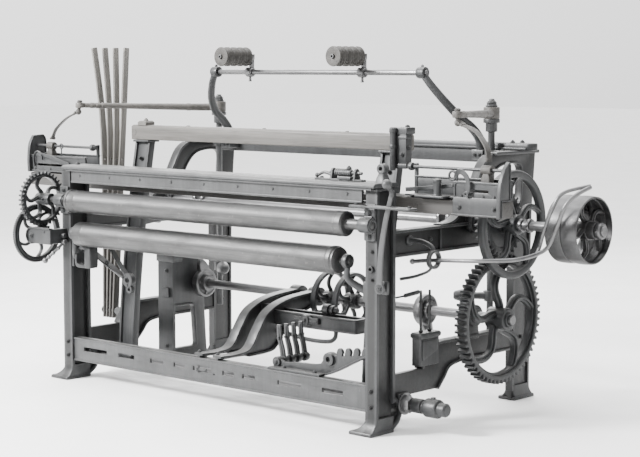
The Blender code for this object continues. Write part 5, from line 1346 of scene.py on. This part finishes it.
def picking(side, tag):
    x, y = side * PICK_X, PICK_Y
    foot_z, knob_z = 1.158, 0.43
    body = "pick_" + tag
    s = Shape()
    s.turn("Z", x, y, [(0, 0.245), (0.012, 0.245), (0.014, 0.248), (0.014, foot_z - 0.054),
        (0.024, foot_z - 0.052), (0.024, foot_z - 0.018), (0.034, foot_z - 0.016), (0.034, foot_z - GAP),
        (0.0135, foot_z - GAP), (0.0135, 1.2064), (0.024, 1.2066), (0.024, 1.21), (0.012, 1.2105),
        (0.012, 1.236), (0.008, 1.24), (0, 1.24)], 36, edge=0.0015)
    s.nut("Z", x, y, 0.021, 1.21, 0.013)
    s.nut("Z", x, y, 0.017, 1.2235, 0.008)
    s.rod([(x, y, knob_z), (x - side * 0.07, y - 0.05, knob_z)], (0.016, 0.014))
    s.rod([(x - side * 0.07, y - 0.05, knob_z), (x - side * 0.1, y - 0.0715, knob_z),
        (x - side * 0.118, y - 0.084, knob_z)], (0.03, 0.018), 24)
    s.tube("Z", x, y, 0.013, 0.025, knob_z - 0.022, knob_z + 0.022, 0.004, 32)
    s.nut("X", y, 0.445, 0.006, x - side * 0.023, -side * 0.008, 0.002, 4)
    s.done("pick_shaft_" + tag, body, IRON_LIGHT)

    tip = arm_tip(side)
    along = Vector((tip[0] - x, tip[1] - y)).normalized()
    s = Shape()

    def middle(d):
        return x + along.x * d, y + along.y * d, PICK_Z + 0.014 * max(0, d - 0.1) / 0.57

    line = [middle(0.018 + 0.632 * i / 24) for i in range(25)]
    s.rod(line, (0.0175, 0.011), 20)
    s.turn("Z", x, y, [(0.0142, foot_z), (0.033, foot_z), (0.033, 1.2058), (0.0142, 1.2058)], 40, True,
        0.004)
    for d in (0.15, 0.56, 0.585, 0.612):
        s.rod([middle(d - 0.008), middle(d), middle(d + 0.008)], 0.0188 - 0.0095 * d, 20)
    s.tube("Z", tip[0], tip[1], 0.0085, 0.0195, PICK_Z + 0.002, PICK_Z + 0.026, 0.005, 32)
    s.done("pick_arm_" + tag, body, WOOD_Y)

    s = Shape()
    end = PICKER_X[side]
    out = end - tip[0]
    low = PICKER_TOP[side] + 0.01
    drop = smooth([(tip[0] + 0.02 * out, tip[1] - 0.004, PICK_Z - 0.006),
        (tip[0] + 0.16 * out, tip[1] - 0.008, PICK_Z - 0.022), (tip[0] + 0.55 * out, tip[1] - 0.022, 1.134),
        (end - 0.12 * out, -0.28, 1.088), (end - 0.01 * out, -0.29, 1.052), (end, -0.293, low + 0.002)])
    s.strap(drop, 0.024, 0.0065, (0.3 * side, 1, 0.1))
    s.strap([drop[3], drop[6], drop[9]], 0.027, 0.0095, (0.3 * side, 1, 0.1))
    s.strap([drop[-9], drop[-5], drop[-1]], 0.027, 0.0095, (0.3 * side, 1, 0.1))
    for place in (6, -5):
        u, v, w = drop[place]
        s.drum("Y", u, w, 0.0045, v - 0.015, v + 0.015, 0.001, 16)
    s.rod([(tip[0], tip[1], PICK_Z + 0.03), (tip[0], tip[1], PICK_Z + 0.014),
        (tip[0] + side * 0.004, tip[1] - 0.003, PICK_Z - 0.008)], 0.0078, 16)
    s.ball((tip[0] + 0.03 * out, tip[1] - 0.005, PICK_Z - 0.016), 0.0135)
    s.rod([(tip[0], tip[1], PICK_Z + 0.027), (tip[0], tip[1], PICK_Z + 0.034)], 0.012, 16)
    s.done("pick_strap_" + tag, "strap_" + tag, HIDE)


picking(-1, "left")
picking(1, "right")


# ---------------------------------------------------------------- harness arch
def arch_bracket(side, name):
    s = Shape()
    path = smooth([(side * 0.725, 0.388, 1.012), (side * 0.723, 0.38, 1.07), (side * 0.716, 0.335, 1.12),
        (side * 0.702, 0.27, 1.165), (side * 0.672, 0.215, 1.225), (side * 0.63, 0.178, 1.29),
        (side * 0.6, ARCH_Y, 1.332), (side * 0.586, ARCH_Y, ARCH_Z - 0.004)])
    x = side * ARCH_X
    s.rod(path, (0.021, 0.014), 24, 0.82)
    s.box((side * 0.725 - 0.028, side * 0.725 + 0.028), (0.358, 0.4234), (0.99, 1.03), 0.004)
    for dz in (-0.01, 0.01):
        s.nut("Y", side * 0.725 + dz * 1.2, 1.01, 0.008, 0.358, -0.008, 0.003)
    s.tube("X", ARCH_Y, ARCH_Z, 0.0122, 0.024, x - 0.019, x + 0.019, 0.004)
    s.nut("Z", x, ARCH_Y, 0.0065, ARCH_Z + 0.023, 0.008, 0.002, 4)
    s.done(name, "frame", IRON)


def harness_rod():
    y, z = ARCH_Y, ARCH_Z
    s = Shape()
    s.drum("X", y, z, 0.0115, -ARCH_X - 0.024, ARCH_X + 0.024)
    for x in PULLEY_X:
        c = x + 0.022
        s.tube("X", y, z, 0.011, 0.022, c - 0.015, c + 0.015, 0.003)
        s.drum("X", y, z, 0.018, c - 0.018, c + 0.018)
        s.box((c - 0.008, c + 0.008), (y + 0.002, y + 0.018), (1.35, 1.42), 0.003)
        s.box((x - 0.01, c + 0.0095), (y + 0.0005, y + 0.0195), (1.398, 1.424), 0.003)
        s.drum("Y", x, PULLEY_Z, 0.007, y - 0.17, y + 0.018)
        s.drum("Y", x, PULLEY_Z, 0.01, y - 0.17, y - 0.164)
        s.drum("Z", c, y, 0.0055, 1.306, 1.33, 0.001)
        s.drum("Z", c, y, 0.0075, 1.303, 1.311)
    s.done("harness_rod", "frame", STEEL_X)


def harness_pulley(index, x):
    start, pitch = ARCH_Y - 0.162, 0.04
    profile = [(0.0086, start)]
    for groove in range(4):
        w = start + pitch * groove
        profile += [(0.04, w), (0.042, w + 0.002), (0.042, w + 0.006), (0.036, w + 0.01),
            (0.0325, w + 0.015), (0.0315, w + 0.02), (0.0325, w + 0.025), (0.036, w + 0.03),
            (0.042, w + 0.034)]
    profile += [(0.042, start + pitch * 4 - 0.002), (0.04, start + pitch * 4), (0.0086, start + pitch * 4)]
    s = Shape()
    s.turn("Y", x, PULLEY_Z, profile, 56, True, 0.001)
    s.done(f"harness_pulley_{index}", f"harness_pulley_{index}", WOOD_DARK)


arch_bracket(-1, "arch_bracket_left")
arch_bracket(1, "arch_bracket_right")
harness_rod()
for number, pulley_x in enumerate(PULLEY_X, 1):
    harness_pulley(number, pulley_x)


# ---------------------------------------------------------------- heald levers
def heald_levers():
    for i in range(4):
        x, fan = LEVER_X + 0.02 * i, i - 1.5
        side = smooth([(LEVER_Y, LEVER_Z - 0.035), (LEVER_Y + 0.015 + 0.008 * fan, 0.6),
            (LEVER_Y + 0.029 + 0.0235 * fan, 1.1), (LEVER_Y + 0.017 + 0.048 * fan, 1.455)], 12)
        s = Shape()
        s.plate("X", eased(ribbon(side, (0.036, 0.03)), 0.005), x - 0.005, x + 0.005,
            (circle(LEVER_Y, LEVER_Z, 0.0118, 24), circle(side[20][0], side[20][1], 0.004, 16)), 0.0015)
        s.done(f"heald_lever_{i + 1}", f"heald_lever_{i + 1}", WOOD_Z)


heald_levers()


# ---------------------------------------------------------------- starting handle and belt fork
def starting_gear():
    bar = smooth([(HANDLE_X, HANDLE_Z), (0.93, 0.68), (0.95, 0.8), (0.975, 0.89), (0.985, 0.925)])
    s = Shape()
    s.plate("Y", ribbon(bar, (0.026, 0.016)), -0.512, -0.504)
    s.tube("Y", HANDLE_X, HANDLE_Z, 0.0086, 0.021, -0.5125, -0.5, 0.003, 32)
    s.rod(smooth([(0.981, -0.508, 0.905), (0.988, -0.52, 0.922), (0.994, -0.538, 0.934),
        (1.0, -0.556, 0.946)]), (0.009, 0.0075))
    s.ball((1.002, -0.562, 0.95), 0.0185)
    s.done("starting_handle", "handle", IRON_LIGHT)

    shank = smooth([(0.905, FORK_Y, 0.64), (FORK_X, FORK_Y, 0.652), (1.17, -0.286, 0.662),
        (1.26, -0.25, 0.666), (1.31, -0.19, 0.669), (1.327, -0.08, 0.682), (1.352, -0.045, 0.712),
        (1.386, -0.04, 0.787), (1.412, -0.034, 0.857), (1.44, -0.005, 0.9), (1.47, 0.05, 0.93)])
    tine = smooth([(1.318, -0.075, 0.681), (1.312, -0.045, 0.705), (1.331, -0.04, 0.775),
        (1.364, -0.034, 0.858), (1.392, -0.01, 0.908), (1.468, 0.05, 0.934)])
    s = Shape()
    s.rod(shank, 0.0078)
    s.rod(tine, 0.007)
    s.ball(shank[0], 0.0112)
    s.done("belt_fork", "fork", STEEL_X)


starting_gear()


# ---------------------------------------------------------------- floor, light and camera
def floor():
    mesh = bpy.data.meshes.new("floor")
    reach = 40
    mesh.from_pydata([(-reach, -reach, 0), (reach, -reach, 0), (reach, reach, 0), (-reach, reach, 0)], [],
        [(0, 1, 2, 3)])
    ground = bpy.data.objects.new("floor", mesh)
    ground.location.z = -0.0005
    bpy.context.scene.collection.objects.link(ground)
    n = Nodes("floor_paper")
    cloud = n.noise(n.place, 2.2, 5, 0.6)
    base = n.ramp(cloud, ((0.3, (0.84, 0.84, 0.835)), (0.7, (0.9, 0.9, 0.895))))
    mesh.materials.append(n.finish(base, 0.85))


def area_light(name, place, aim, size, power):
    lamp = bpy.data.lights.new(name, "AREA")
    lamp.shape = "RECTANGLE"
    lamp.size, lamp.size_y = size
    lamp.energy = power
    made = bpy.data.objects.new(name, lamp)
    made.location = place
    made.rotation_euler = (Vector(aim) - Vector(place)).to_track_quat("-Z", "Y").to_euler()
    bpy.context.scene.collection.objects.link(made)


floor()
area_light("key", (-2.8, -5.4, 4.4), (0, 0, 0.6), (1.6, 1.6), 1900)
area_light("fill", (5.0, -1.5, 3.0), (0, 0, 0.6), (3.5, 3.0), 40)
area_light("top", (-0.6, 0.6, 5.0), (0, 0, 0.5), (4.0, 3.0), 260)
area_light("rim", (-3.5, 3.8, 3.0), (0, 0, 0.8), (2.5, 2.5), 160)

world = bpy.data.worlds.new("paper")
world.use_nodes = True
sky = world.node_tree
heading = sky.nodes.new("ShaderNodeTexCoord")
toward = sky.nodes.new("ShaderNodeVectorMath")
toward.operation = "DOT_PRODUCT"
toward.inputs[1].default_value = (-0.62, 0.12, 0.9)
shade = sky.nodes.new("ShaderNodeValToRGB")
for position, level in ((0.0, 0.22), (0.5, 0.72), (0.95, 1.0)):
    stop = shade.color_ramp.elements.new(position) if position == 0.5 else shade.color_ramp.elements[
        int(position > 0.5)]
    stop.position = position
    stop.color = (level, level, level, 1)
sky.links.new(heading.outputs["Generated"], toward.inputs[0])
sky.links.new(toward.outputs["Value"], shade.inputs["Fac"])
sky.links.new(shade.outputs["Color"], sky.nodes["Background"].inputs["Color"])
sky.nodes["Background"].inputs["Strength"].default_value = 3.2
bpy.context.scene.world = world

camera_data = bpy.data.cameras.new("camera")
camera_data.lens = 94.6
camera_data.sensor_width = 36
camera_data.clip_end = 100
camera = bpy.data.objects.new("camera", camera_data)
camera.location = (4.8218, -5.2257, 1.38)
camera.rotation_euler = (math.pi / 2 - math.radians(5.586), 0, math.radians(41.6))
bpy.context.scene.collection.objects.link(camera)
bpy.context.scene.camera = camera
